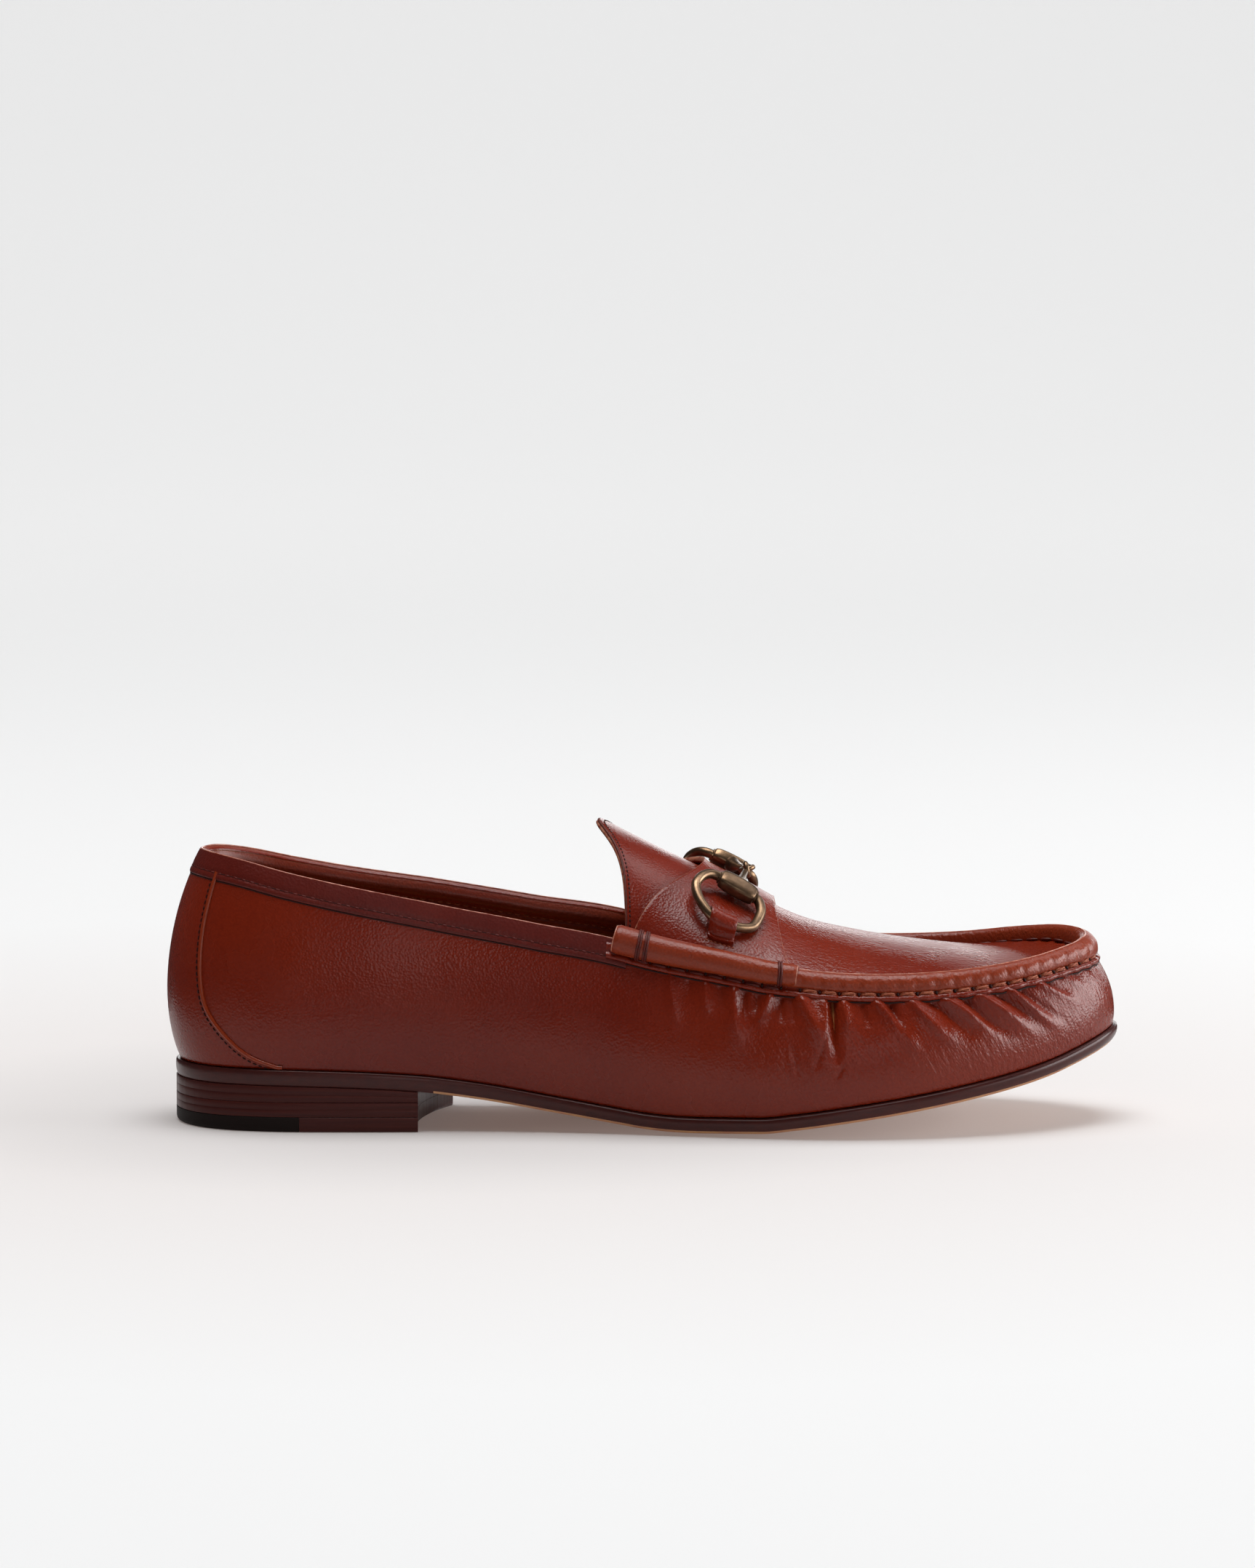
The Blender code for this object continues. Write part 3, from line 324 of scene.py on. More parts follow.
SWELL_ROWS = SWELL * loop_rows(
    lambda s: (s.low_lateral, s.high_lateral),
    lambda s: (s.low_medial, s.high_medial),
)


LOOP = len(EDGE_ROWS)
LOW_HEIGHT = 0.24
HIGH_HEIGHT = 0.32


def section_of(u):
    """The section that a place round the loop belongs to, on either side."""
    return np.abs((u + LOOP / 2) % LOOP - LOOP / 2)


def outward(u, step=0.02):
    """Unit vectors in plan, out of the sole's edge."""
    along = through(EDGE_ROWS, u + step, True) - through(EDGE_ROWS, u - step, True)
    normal = np.stack([along[..., 1], -along[..., 0]], -1)
    return normal / np.linalg.norm(normal, axis=-1, keepdims=True)


def edge(u, inset=0.0):
    """The sole's edge in plan at loop places u, moved in by inset."""
    u = np.asarray(u, float)
    return through(EDGE_ROWS, u, True) - outward(u) * np.asarray(inset)[..., None]


def top_line(u):
    """The wall's top: the collar, then the apron seam."""
    top = through(TOP_ROWS, u, True)
    base = sole_top(top[..., 0], 0 * top[..., 0])
    return np.stack([top[..., 0], top[..., 1], base + top[..., 2]], -1)


def wall_point(u, t):
    """The upper's outer side: u round the loop, t from the sole at 0 to the top line at 1."""
    u, t = np.broadcast_arrays(np.asarray(u, float), np.asarray(t, float))
    foot = edge(u, FEATHER_MARGIN)
    foot = np.stack([foot[..., 0], foot[..., 1], sole_top(foot[..., 0], foot[..., 1]) + GAP], -1)
    top = top_line(u)
    out = np.concatenate([outward(u), np.zeros(u.shape + (1,))], -1)
    rise = (top - foot)[..., 2:3] * np.array([0, 0, 1.0])
    swell = through(SWELL_ROWS, u, True)
    low = foot + out * swell[..., 0:1] + rise * LOW_HEIGHT
    high = top + out * swell[..., 1:2] - rise * HIGH_HEIGHT
    t = t[..., None]
    return foot * (1 - t) ** 3 + 3 * low * t * (1 - t) ** 2 + 3 * high * t * t * (1 - t) + top * t**3


def unit(v):
    """Vectors of length one."""
    return v / np.maximum(np.linalg.norm(v, axis=-1, keepdims=True), 1e-12)


def arc_length(points):
    """Distance along a line of points, at each of them."""
    return np.concatenate([[0], np.cumsum(np.linalg.norm(np.diff(points, axis=0), axis=1))])


def wall_normal(u, t, du=0.05, dt=0.02):
    u, t = np.broadcast_arrays(np.asarray(u, float), np.asarray(t, float))
    low, high = np.clip(t - dt, 0, 1), np.clip(t + dt, 0, 1)
    along = wall_point(u + du, t) - wall_point(u - du, t)
    up = wall_point(u, high) - wall_point(u, low)
    normal = unit(np.cross(along, up))
    facing = np.sum(normal[..., :2] * outward(u), -1, keepdims=True)
    return np.where(facing < 0, -normal, normal)


def wall_at_depth(u, depth, samples=41):
    """The wall's t at a distance below its top line."""
    u, depth = np.broadcast_arrays(np.asarray(u, float), np.asarray(depth, float))
    t = np.linspace(0, 1, samples)
    points = wall_point(u[..., None], t)
    length = np.linalg.norm(np.diff(points, axis=-2), axis=-1)
    below = np.concatenate([np.zeros(u.shape + (1,)), np.cumsum(length[..., ::-1], -1)], -1)
    found = [np.interp(d, b, 1 - t) for d, b in zip(depth.ravel(), below.reshape(-1, samples))]
    return np.array(found).reshape(u.shape)


def arch_point(a, turn):
    """The apron's outer side: a counts the rows of ARCHES, turn goes from 0 at the outer seam to pi."""
    a, turn = np.broadcast_arrays(np.asarray(a, float), np.asarray(turn, float))
    row = through([list(arch) for arch in ARCHES], a)
    section, lean, rise, shift, fullness = np.moveaxis(row, -1, 0)
    outer, inner = top_line(section), top_line(-section)
    across = ((1 - np.cos(turn)) / 2)[..., None]
    high = np.clip(np.sin(turn), 0, 1)
    point = outer * (1 - across) + inner * across
    point = point + np.stack(
        [
            -lean * SHOE_LENGTH * high**LEAN_SHARPNESS,
            shift * BALL_WIDTH / 2 * high**2,
            rise * INSTEP_RISE * high**fullness - PLUG_DROP,
        ],
        -1,
    )
    return point


def arch_normal(a, turn, da=0.04, dturn=0.05):
    a, turn = np.broadcast_arrays(np.asarray(a, float), np.asarray(turn, float))
    last = len(ARCHES) - 1
    along = arch_point(np.clip(a + da, 0, last), turn) - arch_point(np.clip(a - da, 0, last), turn)
    left, right = np.clip(turn + dturn, 0, np.pi), np.clip(turn - dturn, 0, np.pi)
    across = arch_point(a, left) - arch_point(a, right)
    return unit(np.cross(along, across))


def rings_round(path, along, across, radii, sides):
    """Circles round a path. across is a direction out of it at each point."""
    side = unit(across - along * np.sum(across * along, -1, keepdims=True))
    up = np.cross(along, side)
    turn = np.linspace(0, 2 * np.pi, sides, endpoint=False)[None, :, None]
    ring = side[:, None] * np.cos(turn) + up[:, None] * np.sin(turn)
    return path[:, None] + ring * np.broadcast_to(radii, len(path))[:, None, None]


def rings_along(path, across, radii, sides):
    """Circles round a path with two ends."""
    return rings_round(path, unit(np.gradient(path, axis=0)), across, radii, sides)


def ring_tube(path, across, radius, sides):
    """Circles round a path that closes on itself."""
    along = unit(np.roll(path, -1, 0) - np.roll(path, 1, 0))
    return rings_round(path, along, across, radius, sides)


def sole_plan(last_lateral, last_medial, inset, stations, across, hollow=0.0):
    """A grid in plan over the sole from the heel's back: rows are stations, columns go across.
    hollow bends the last row towards the heel."""
    share = np.linspace(0, 1, stations)
    lateral = edge(share * last_lateral, inset)
    medial = edge(-share * last_medial, inset)
    q = np.linspace(0, 1, across)[None, :, None]
    plan = lateral[:, None] * (1 - q) + medial[:, None] * q
    bow = hollow * share[:, None] ** 6 * (1 - (2 * q[..., 0] - 1) ** 2)
    plan[..., 0] -= bow
    return plan


def section_at(distance):
    """The section whose sole edge lies this far from the heel's back."""
    xs = [s.x * SHOE_LENGTH for s in SECTIONS]
    return float(np.interp(distance, xs, range(len(xs))))


def heel_plan(inset, lateral_end, medial_end, hollow, stations, across):
    return sole_plan(section_at(lateral_end), section_at(medial_end), inset, stations, across, hollow)


def cut_plan(plan, rear):
    """The part of a heel plan behind the rubber's front line, or before it."""
    stations, across = plan.shape[:2]
    share = np.linspace(0, 1, stations) ** REAR_CROWDING
    made = np.empty((stations if rear else FORE_STATIONS, across, 2))
    for j in range(across):
        xs, ys = plan[:, j].T
        if rear:
            made[:, j, 0] = xs[0] + (RUBBER_LENGTH - xs[0]) * share
        else:
            made[:, j, 0] = np.linspace(RUBBER_LENGTH + LIFT_GAP, xs[-1], FORE_STATIONS)
        made[:, j, 1] = np.interp(made[:, j, 0], xs, ys)
    return made


def roll_radius(u):
    """The raised seam's radius: small under the saddle strap's ends, full round the toe."""
    hidden, bare = ROLL_SECTIONS[1] - 0.15, ROLL_SECTIONS[1] + 0.05
    full = HIDDEN_ROLL_RADIUS + (ROLL_RADIUS - HIDDEN_ROLL_RADIUS) * smoothstep(hidden, bare, section_of(u))
    return full * (1 + 0.22 * smoothstep(13.5, LAST_SECTION, section_of(u)))


def counter_route(side, count=13):
    """Places on the wall along the counter's raised seam: u and t."""
    row = through(COUNTER_SEAM, np.linspace(0, len(COUNTER_SEAM) - 1, count))
    t, distance = row[:, 0], row[:, 1] * SHOE_LENGTH
    u = np.empty(count)
    places = np.linspace(0.2, 5.0, 97)
    for i in range(count):
        xs = wall_point(places, t[i])[:, 0]
        u[i] = np.interp(distance[i], xs, places)
    return side * u, np.clip(t, 0.012, 0.95)


def strap_top():
    """How far the strap's outer face stands off the apron."""
    return GAP * 2 + STRAP_THICKNESS


@functools.lru_cache
def side_axes(side):
    """For one half of the bit: its middle, its barrel's centre, the barrel's way along the shoe, the
    way the arm reaches, the way the ring hangs, and the ring's normal away from the strap."""
    half = HALVES[side]
    crown = arch_point(3.0, np.pi / 2)[2]
    middle = np.array(
        [
            BIT_MIDDLE[0] * SHOE_LENGTH,
            BIT_MIDDLE[1] * BALL_WIDTH / 2,
            crown + BIT_MIDDLE[2] * BARREL_HEIGHT,
        ]
    )
    along = np.array([math.cos(half.slope), 0, -math.sin(half.slope)])
    outside = np.array([0, half.sign, 0])
    off = np.array([math.sin(half.slope), 0, math.cos(half.slope)])
    barrel = middle + ARM_REACH * tilted(outside, off, half.arm_fall)
    barrel = barrel - along * half.back * BARREL_LENGTH
    fall = tilted(outside, off, ring_fall(barrel, along, outside, off))
    normal = unit(off - fall * np.dot(off, fall))
    return middle, barrel, along, unit(barrel - middle), fall, normal


def tilted(outside, off, angle):
    """The direction that falls by an angle from level."""
    return outside * math.cos(angle) - off * math.sin(angle)


def ring_fall(barrel, along, outside, off):
    """The angle at which a ring hangs from its barrel: it stops just over the strap."""
    clear = strap_top() + WIRE_RADIUS + RING_CLEARANCE
    high, steep = -STEEPEST_RING, STEEPEST_RING
    for _ in range(14):
        angle = (high + steep) / 2
        path = ring_route(barrel, along, tilted(outside, off, angle), 24)
        if min(arch_under(point)[2] for point in path) < clear:
            steep = angle
        else:
            high = angle
    return high


def ring_route(barrel, along, fall, count):
    """Points round a ring's centreline."""
    route = through(RING_ROUTE, np.linspace(0, len(RING_ROUTE), count, endpoint=False), True)
    route = route * BARREL_LENGTH
    return barrel + route[:, :1] * along + route[:, 1:] * fall


def ring_path(side, count=32):
    """A ring's centreline and its normal."""
    _, barrel, along, _, fall, normal = side_axes(side)
    return ring_route(barrel, along, fall, count), normal


def arch_under(point):
    """The place on the apron nearest a point: a, turn, and the height over it."""
    a, turn, span = 3.0, np.pi / 2, 1.0
    for _ in range(7):
        places = np.clip(a + np.linspace(-2, 2, 9) * span, 0, len(ARCHES) - 1)[:, None]
        turns = np.clip(turn + np.linspace(-1.6, 1.6, 17) * span, 0, np.pi)[None, :]
        distance = np.linalg.norm(arch_point(places, turns) - point, axis=-1)
        i, j = np.unravel_index(np.argmin(distance), distance.shape)
        a, turn, span = places[i, 0], turns[0, j], span * 0.35
    return a, turn, distance[i, j]


# Stitches of the apron seam, and the painted shade in their holes.
STITCH_PITCH = 0.0060
PITCH_MM = STITCH_PITCH * 1000
STITCH_DEPTH = 0.0037
STRAP_STITCH_DEPTH = 0.0043
STITCH_SLANT = np.array([-0.00008, 0.00012])
HOLE_REACH = 0.00060
HOLE_HEIGHT = LIP_STEP * 0.52
HOLE_RADII = np.array([0.00012, 0.00032, 0.00042, 0.00032, 0.00012])
ROLL_STITCH_SINK = np.array([-0.0006, 0.0001, 0.0002, 0.0001, -0.0006])
# Places round the loop beside the seam's outer side and its inner side.
SEAM_SPANS = {1: np.linspace(6, LOOP / 2, 1600), -1: np.linspace(LOOP - 6, LOOP / 2 + 1e-6, 1600)}

# Radii of threads and of thin lines, among them painted highlight and painted shade lines.
THREAD_RADIUS = 0.00058
STRAP_THREAD = 0.00036
ROLL_THREAD = 0.00048
FINE_THREAD = 0.00022
COLLAR_THREAD = 0.00024
WRAP_THREAD = 0.00040
PALE_LINE = 0.00028
RIM_LINE = 0.00026
SHADOW_LINE = 0.00024

# Rows of fine stitches: their pitches, where they lie, and the painted shade line in the gutter beside the
# counter's piping.
COLLAR_PITCH = 0.0028
TONGUE_PITCH = 0.0016
COUNTER_PITCH = 0.0019
COLLAR_GROOVE = 0.0053
TONGUE_GROOVE = 0.085
COUNTER_STITCHES_OFF = 0.00155
GUTTER_OFF = 0.00066
LINING_WIDTH = 0.0085

# Wraps of thread round the strap's bars: where they lie along a bar, and how far each one is off.
BAR_WRAPS = [(0.155, -0.0017), (0.155, -0.0010), (0.155, 0.0006), (0.155, 0.0013)]
BAR_WRAPS += [(0.905, -0.0004), (0.905, 0.0004)]
BAR_STATIONS = 90
WRAP_SLANT = 0.0005
# Where the strap's sheet ends under its bars, and how far its back edge curls up.
STRAP_TURN = math.pi / 18
STRAP_CURL = 0.0010

# How deep the stitches pinch the raised seam, and how uneven it is.
ROLL_PINCH = 0.00042
ROLL_WRINKLE = 0.00003

# Outlines of a barrel and of an arm: place along it and width. The wire is drawn a little thick.
BARREL_HALF = [(0.0, 1.02), (0.2, 1.0), (0.36, 0.95), (0.45, 0.86), (0.485, 0.78), (0.50, 0.66)]
BARREL_OUTLINE = [(-place, width) for place, width in BARREL_HALF[:0:-1]] + BARREL_HALF
BARREL_SQUARENESS = 0.62
ARM_OUTLINE = [(0.0, 1.02), (0.16, 1.0), (0.24, 0.80), (0.55, 0.50), (0.86, 0.40), (0.9, 0.44)]
NECK_PLACES = np.array([-0.0004, -0.0003, 0.0003, 0.0004])
NECK_RADII = np.array([0.0019, 0.0021, 0.0021, 0.0019])
SHOWN_WIRE = 1.08

# The sole's edge from its top down: inset and share of the thickness. It is squarer at the heel, and
# its underside shows its tan colour from the breast on.
SOLE_RIM = [
    (0.0022, 1.0),
    (0.0013, 0.985),
    (0.0007, 0.94),
    (0.0002, 0.84),
    (0.0, 0.70),
    (0.0, 0.52),
    (0.0002, 0.36),
    (0.0005, 0.24),
    (0.0009, 0.15),
    (0.0015, 0.05),
    (0.0022, 0.0),
]
ROUND_SPAN = (0.30, 0.62)
SQUARE_SHARE = 0.30
TAN_FROM = 0.275
HEEL_SOFTENING = 0.00012
REAR_CROWDING = 1.6
FORE_STATIONS = 6

# Creases of the vamp beside the outer seam: start and end as distances along the seam from section 8
# and down the wall, width and height (a trough is negative), in millimetres.
Crease = namedtuple("Crease", "start depth end low width height")
CREASES = [
    Crease(45.9, 5.0, 46.1, 29.5, 1.10, -1.60),
    Crease(43.6, 6.0, 43.2, 24.0, 2.20, 0.60),
    Crease(49.3, 6.0, 51.0, 19.0, 1.80, 0.75),
    Crease(54.5, 6.0, 57.5, 17.0, 1.50, -0.55),
    Crease(58.8, 6.0, 71.5, 27.0, 2.00, 0.80),
    Crease(63.1, 6.0, 67.5, 20.5, 1.40, -0.80),
    Crease(69.5, 6.0, 84.0, 23.0, 1.90, 0.85),
    Crease(76.0, 6.0, 88.0, 22.0, 1.40, -0.85),
    Crease(80.0, 6.0, 96.5, 22.5, 1.80, 0.85),
    Crease(86.6, 6.0, 103.0, 23.5, 1.35, -0.90),
    Crease(91.5, 6.0, 109.0, 24.0, 1.70, 0.85),
    Crease(97.4, 6.0, 113.0, 24.0, 1.30, -0.85),
    Crease(101.8, 6.0, 117.5, 23.5, 1.60, 0.80),
    Crease(106.0, 6.0, 120.0, 22.5, 1.25, -0.70),
    Crease(112.0, 6.0, 126.0, 18.5, 1.60, 0.60),
    Crease(116.0, 6.0, 124.0, 13.0, 1.20, -0.45),
    Crease(123.0, 6.0, 130.0, 12.0, 1.30, 0.30),
    Crease(36.2, 6.0, 44.5, 26.5, 3.00, 1.15),
    Crease(33.3, 6.0, 34.0, 17.0, 1.30, -0.55),
    Crease(30.3, 6.0, 30.7, 17.0, 1.40, -0.75),
    Crease(27.0, 6.5, 22.0, 18.0, 1.30, 0.80),
    Crease(22.8, 6.5, 21.5, 15.0, 1.50, -0.55),
    Crease(18.6, 6.5, 19.4, 18.0, 1.40, -0.75),
    Crease(15.3, 6.5, 17.4, 29.0, 2.00, 0.70),
    Crease(11.0, 6.5, 11.5, 17.0, 1.80, -0.35),
    Crease(6.2, 6.5, 7.0, 19.0, 1.80, 0.40),
    Crease(1.0, 6.5, 1.5, 16.0, 2.00, -0.22),
    Crease(-5.5, 6.5, -3.5, 28.0, 1.60, 0.25),
    Crease(43.8, 17.5, 38.6, 31.0, 0.45, -0.28),
    Crease(33.2, 22.5, 36.3, 35.5, 0.50, -0.20),
    Crease(47.9, 27.0, 44.0, 33.0, 0.60, -0.22),
]

FOLD_GAIN = 2.1
FOLD_SHARPNESS = {"trough": 1.3, "ridge": 1.45}
FOLD_BOW = 0.045
# On the inner side the same folds stand a little off and lower, in millimetres.
INNER_SHIFT = 3.1
# The small gathers at each stitch and the wall's slow unevenness, in millimetres.
GATHER_HEIGHT = 0.16
GATHER_REACH = 5.0
SWELL_HEIGHT = 0.10
# The finest wrinkles, in the leather's material: how they lean, and where along the shoe they come in.
WRINKLE_TURN = math.radians(-32)
WRINKLE_SPAN = (0.005, 0.060)

# Section of the raised seam, out of the shoe and up, in shares of its radius.
ROLL_OUTLINE = [
    (1.00, -0.55),
    (1.02, -0.20),
    (0.96, 0.18),
    (0.74, 0.58),
    (0.36, 0.90),
    (-0.02, 1.04),
    (-0.34, 1.00),
    (-0.60, 0.78),
    (-0.76, 0.40),
    (-0.84, -0.05),
    (-0.86, -0.55),
    (-0.50, -0.92),
    (0.25, -1.00),
    (0.80, -0.88),
]

# Glow painted into the paper: weaker and redder near the shoe as a painted shadow and red bounce, full away
# from it. Share of the reach, strength and tint.
FLOOR_GLOW = [
    (0.020, 0.12, (1.00, 0.80, 0.74)),
    (0.075, 0.27, (1.00, 0.88, 0.84)),
    (0.200, 0.36, (1.00, 1.00, 1.00)),
    (1.000, 0.57, (1.00, 1.00, 1.00)),
]
GLOW_REACH = 2.6
# The floor: where its shadow is darkest, its tone, the part seen in reflections, and its size.
SHADOW_MIDDLE = (-0.06, 0.03, 0.0)
FLOOR_TONE = 0.50
MIRROR_FRONT = -0.22
MIRROR_BACK = 0.20
MIRROR_ENDS = (-0.30, 1.00)
FLOOR_HALF = 5.0
FLOOR_FRONT = -6.0
CURVE_START = 2.4
CURVE_RADIUS = 1.2

# Lamps: name, place, target, width, height, watts, and whether diffuse and glossy rays see them.
WORLD_LIGHT = 0.04
LAMPS = [
    ("overhead", (-0.05, 0.0, 2.3), (0.01, 0, 0), 1.7, 1.6, 56, (True, True)),
    ("fill", (0.5, -3.1, 0.7), (0.03, 0, 0.05), 1.4, 1.2, 4.8, (True, False)),
    ("front_sheen", (0.36, -3.1, 0.62), (0, 0, 0.05), 0.7, 0.9, 4.6, (False, True)),
    ("right", (1.8, 0.1, 0.55), (0.1, 0, 0.03), 1.9, 0.7, 22, (True, True)),
    ("right_glow", (1.8, 0.2, 0.60), (0.1, 0, 0.03), 1.7, 0.8, 11, (False, True)),
    ("right_low", (1.7, 0.0, 0.10), (0.12, 0, 0.03), 1.3, 0.16, 5.0, (False, True)),
    ("right_sheen", (1.5, -0.9, 0.22), (0.12, 0, 0.02), 1.0, 0.4, 4.0, (False, True)),
    ("tongue_sheen", (1.15, 0.75, 1.70), (0, 0, 0.07), 1.0, 1.0, 7.0, (False, True)),
    ("back_sheen", (0.45, 2.2, 0.36), (0.08, 0, 0.05), 2.0, 0.4, 7.5, (False, True)),
]
CAMERA_LENS = 172.6
CAMERA_TILT = 5.657
CAMERA_PLACE = (0.14384, -2.37546, 0.34231)

# Colours as sRGB values from 0 to 255.
SRGB = {
    "leather_light": (132, 42, 18),
    "leather": (117, 32, 13),
    "leather_dark": (97, 20, 9),
    # Lighter than the leather: a painted highlight for the light that raised rolls, bars and piping catch on
    # top.
    "roll": (134, 48, 20),
    "binding": (88, 22, 15),
    # Pale colour of the painted highlight lines on crowns and rims.
    "painted_highlight": (206, 140, 118),
    # Dark colour of the painted shade in grooves, holes, gutters and under edges.
    "painted_shade": (44, 12, 8),
    "cut_edge": (176, 120, 92),
    "dark_cut": (70, 42, 32),
    "thread": (168, 96, 66),
    "dark_thread": (66, 26, 20),
    "lining": (150, 92, 38),
    "facing": (122, 42, 18),
    "sole_edge": (62, 27, 25),
    "sole_tan": (196, 148, 104),
    "heel": (74, 31, 26),
    "rubber": (30, 22, 20),
    "brass_dark": (72, 54, 40),
    "brass_light": (150, 120, 92),
}


def linear(name):
    """A colour measured in sRGB as the shader's linear values."""
    values = [v / 255 for v in SRGB[name]]
    return tuple(v / 12.92 if v <= 0.04045 else ((v + 0.055) / 1.055) ** 2.4 for v in values) + (1.0,)


class Look:
    """A Principled material put together from a few nodes."""

    def __init__(self, name, roughness, metallic=0.0, coat=0.0, coat_roughness=0.2, specular=0.5):
        self.made = bpy.data.materials.new(name)
        self.made.use_nodes = True
        self.tree = self.made.node_tree
        self.shader = self.tree.nodes["Principled BSDF"]
        fixed = {"Roughness": roughness, "Metallic": metallic, "Coat Weight": coat}
        self.feed(self.shader, {**fixed, "Coat Roughness": coat_roughness, "Specular IOR Level": specular})
        self.place = self.tree.nodes.new("ShaderNodeTexCoord").outputs["Object"]

    def feed(self, node, values):
        """Set a node's inputs, or wire them from other nodes' outputs."""
        for key, value in values.items():
            if isinstance(value, bpy.types.NodeSocket):
                self.tree.links.new(value, node.inputs[key])
            else:
                node.inputs[key].default_value = value

    def node(self, kind, values, output, **options):
        """The output of a new node with these inputs and options."""
        made = self.tree.nodes.new("ShaderNode" + kind)
        for key, value in options.items():
            setattr(made, key, value)
        self.feed(made, values)
        return made.outputs[output]

    def noise(self, scale, detail=2.0, roughness=0.5, stretch=(1, 1, 1), turn=(0, 0, 0)):
        wanted = {"Vector": self.place, "Scale": [1 / s for s in stretch], "Rotation": turn}
        place = self.node("Mapping", wanted, "Vector", vector_type="TEXTURE")
        wanted = {"Vector": place, "Scale": scale, "Detail": detail, "Roughness": roughness}
        return self.node("TexNoise", wanted, "Fac")

    def axis(self, name):
        return self.node("SeparateXYZ", {0: self.place}, name)

    def cells(self, scale, smooth=0.4):
        wanted = {"Vector": self.place, "Scale": scale, "Smoothness": smooth}
        return self.node("TexVoronoi", wanted, "Distance", feature="SMOOTH_F1")

    def ramp(self, source, *stops):
        made = self.tree.nodes.new("ShaderNodeValToRGB")
        band = made.color_ramp
        band.elements[0].position, band.elements[0].color = stops[0]
        band.elements[1].position, band.elements[1].color = stops[-1]
        for place, colour in stops[1:-1]:
            band.elements.new(place).color = colour
        self.feed(made, {"Fac": source})
        return made.outputs["Color"]

    def mix(self, factor, one, two, kind="MIX"):
        return self.node("Mix", {0: factor, 6: one, 7: two}, 2, data_type="RGBA", blend_type=kind)

    def spread(self, source, low, high, to_low, to_high):
        wanted = {"Value": source, "From Min": low, "From Max": high, "To Min": to_low, "To Max": to_high}
        return self.node("MapRange", wanted, "Result")

    def bump(self, source, distance, strength, under=None):
        wanted = {"Height": source, "Distance": distance, "Strength": strength}
        return self.node("Bump", {**wanted, "Normal": under} if under else wanted, "Normal")

    def finish(self, colour, normal, roughness=None):
        """Wire the surface's colour, normal and roughness, and give the material."""
        wanted = {"Base Color": colour, "Normal": normal, "Roughness": roughness}
        self.feed(self.shader, {key: value for key, value in wanted.items() if value})
        return self.made


def leather(name, base, dark, light, grain=1.0, gloss=0.26, coat=0.04):
    """Polished calf: a cloudy colour, a fine pebble grain and small wrinkles."""
    look = Look(name, gloss, coat=coat, coat_roughness=0.18, specular=0.27)
    cloud = look.noise(14, 3.0, 0.5)
    colour = look.ramp(cloud, (0.10, linear(dark)), (0.50, linear(base)), (0.90, linear(light)))
    pores = look.ramp(look.cells(1250), (0.25, (1, 1, 1, 1)), (0.80, (0.80, 0.76, 0.76, 1)))
    colour = look.mix(0.55, colour, pores, "MULTIPLY")
    grainy = look.bump(look.cells(1300), 0.00012 * grain, 0.7)
    folds = look.noise(850, 2.0, 0.5, (1, 1, 0.20), (0, WRINKLE_TURN, 0))
    where = look.spread(look.axis("X"), *WRINKLE_SPAN, 0.08, 1.0)
    folded = look.mix(where, (0.5, 0.5, 0.5, 1), folds)
    creased = look.bump(folded, 0.00050 * grain, 0.7, grainy)
    rough = look.spread(look.noise(70, 3.0), 0.3, 0.7, gloss - 0.04, gloss + 0.06)
    return look.finish(colour, creased, rough)


def plain(name, colour, roughness, second=None, scale=300, distance=0.00004, coat=0.0, specular=0.3):
    """A surface of one colour, lightly varied and lightly rough."""
    look = Look(name, roughness, coat=coat, specular=specular)
    cloud = look.noise(scale, 3.0)
    tint = look.ramp(cloud, (0.3, linear(colour)), (0.7, linear(second or colour)))
    return look.finish(tint, look.bump(cloud, distance, 0.6))


def stacked(name):
    """The heel's burnished leather: fine layers and upright scuffs."""
    look = Look(name, 0.42, coat=0.03, coat_roughness=0.25, specular=0.12)
    layers = look.noise(60, 3.0, 0.6, (0.4, 0.4, 22))
    scuffs = look.noise(900, 2.0, 0.5, (1, 1, 0.06))
    colour = look.ramp(layers, (0.30, linear("sole_edge")), (0.70, linear("heel")))
    normal = look.bump(layers, 0.00008, 0.5)
    normal = look.bump(scuffs, 0.00005, 0.6, normal)
    return look.finish(colour, normal, look.spread(scuffs, 0.3, 0.7, 0.30, 0.44))


def sole_edge(name):
    """The sole's burnished edge: dark, cloudy and slightly uneven."""
    look = Look(name, 0.32, coat=0.14, coat_roughness=0.18, specular=0.18)
    cloud = look.noise(240, 4.0, 0.6, (1, 1, 3))
    colour = look.ramp(cloud, (0.35, linear("sole_edge")), (0.75, linear("heel")))
    normal = look.bump(look.noise(700, 3.0), 0.00006, 0.6, look.bump(cloud, 0.00010, 0.35))
    return look.finish(colour, normal)


def brass(name):
    """Antique brass: worn bright in places, dark in others."""
    look = Look(name, 0.34, metallic=0.88, specular=0.5)
    worn = look.noise(120, 4.0, 0.6)
    colour = look.ramp(worn, (0.30, linear("brass_dark")), (0.72, linear("brass_light")))
    fine = look.noise(1300, 3.0)
    return look.finish(colour, look.bump(fine, 0.00003, 0.5), look.spread(worn, 0.3, 0.7, 0.40, 0.26))


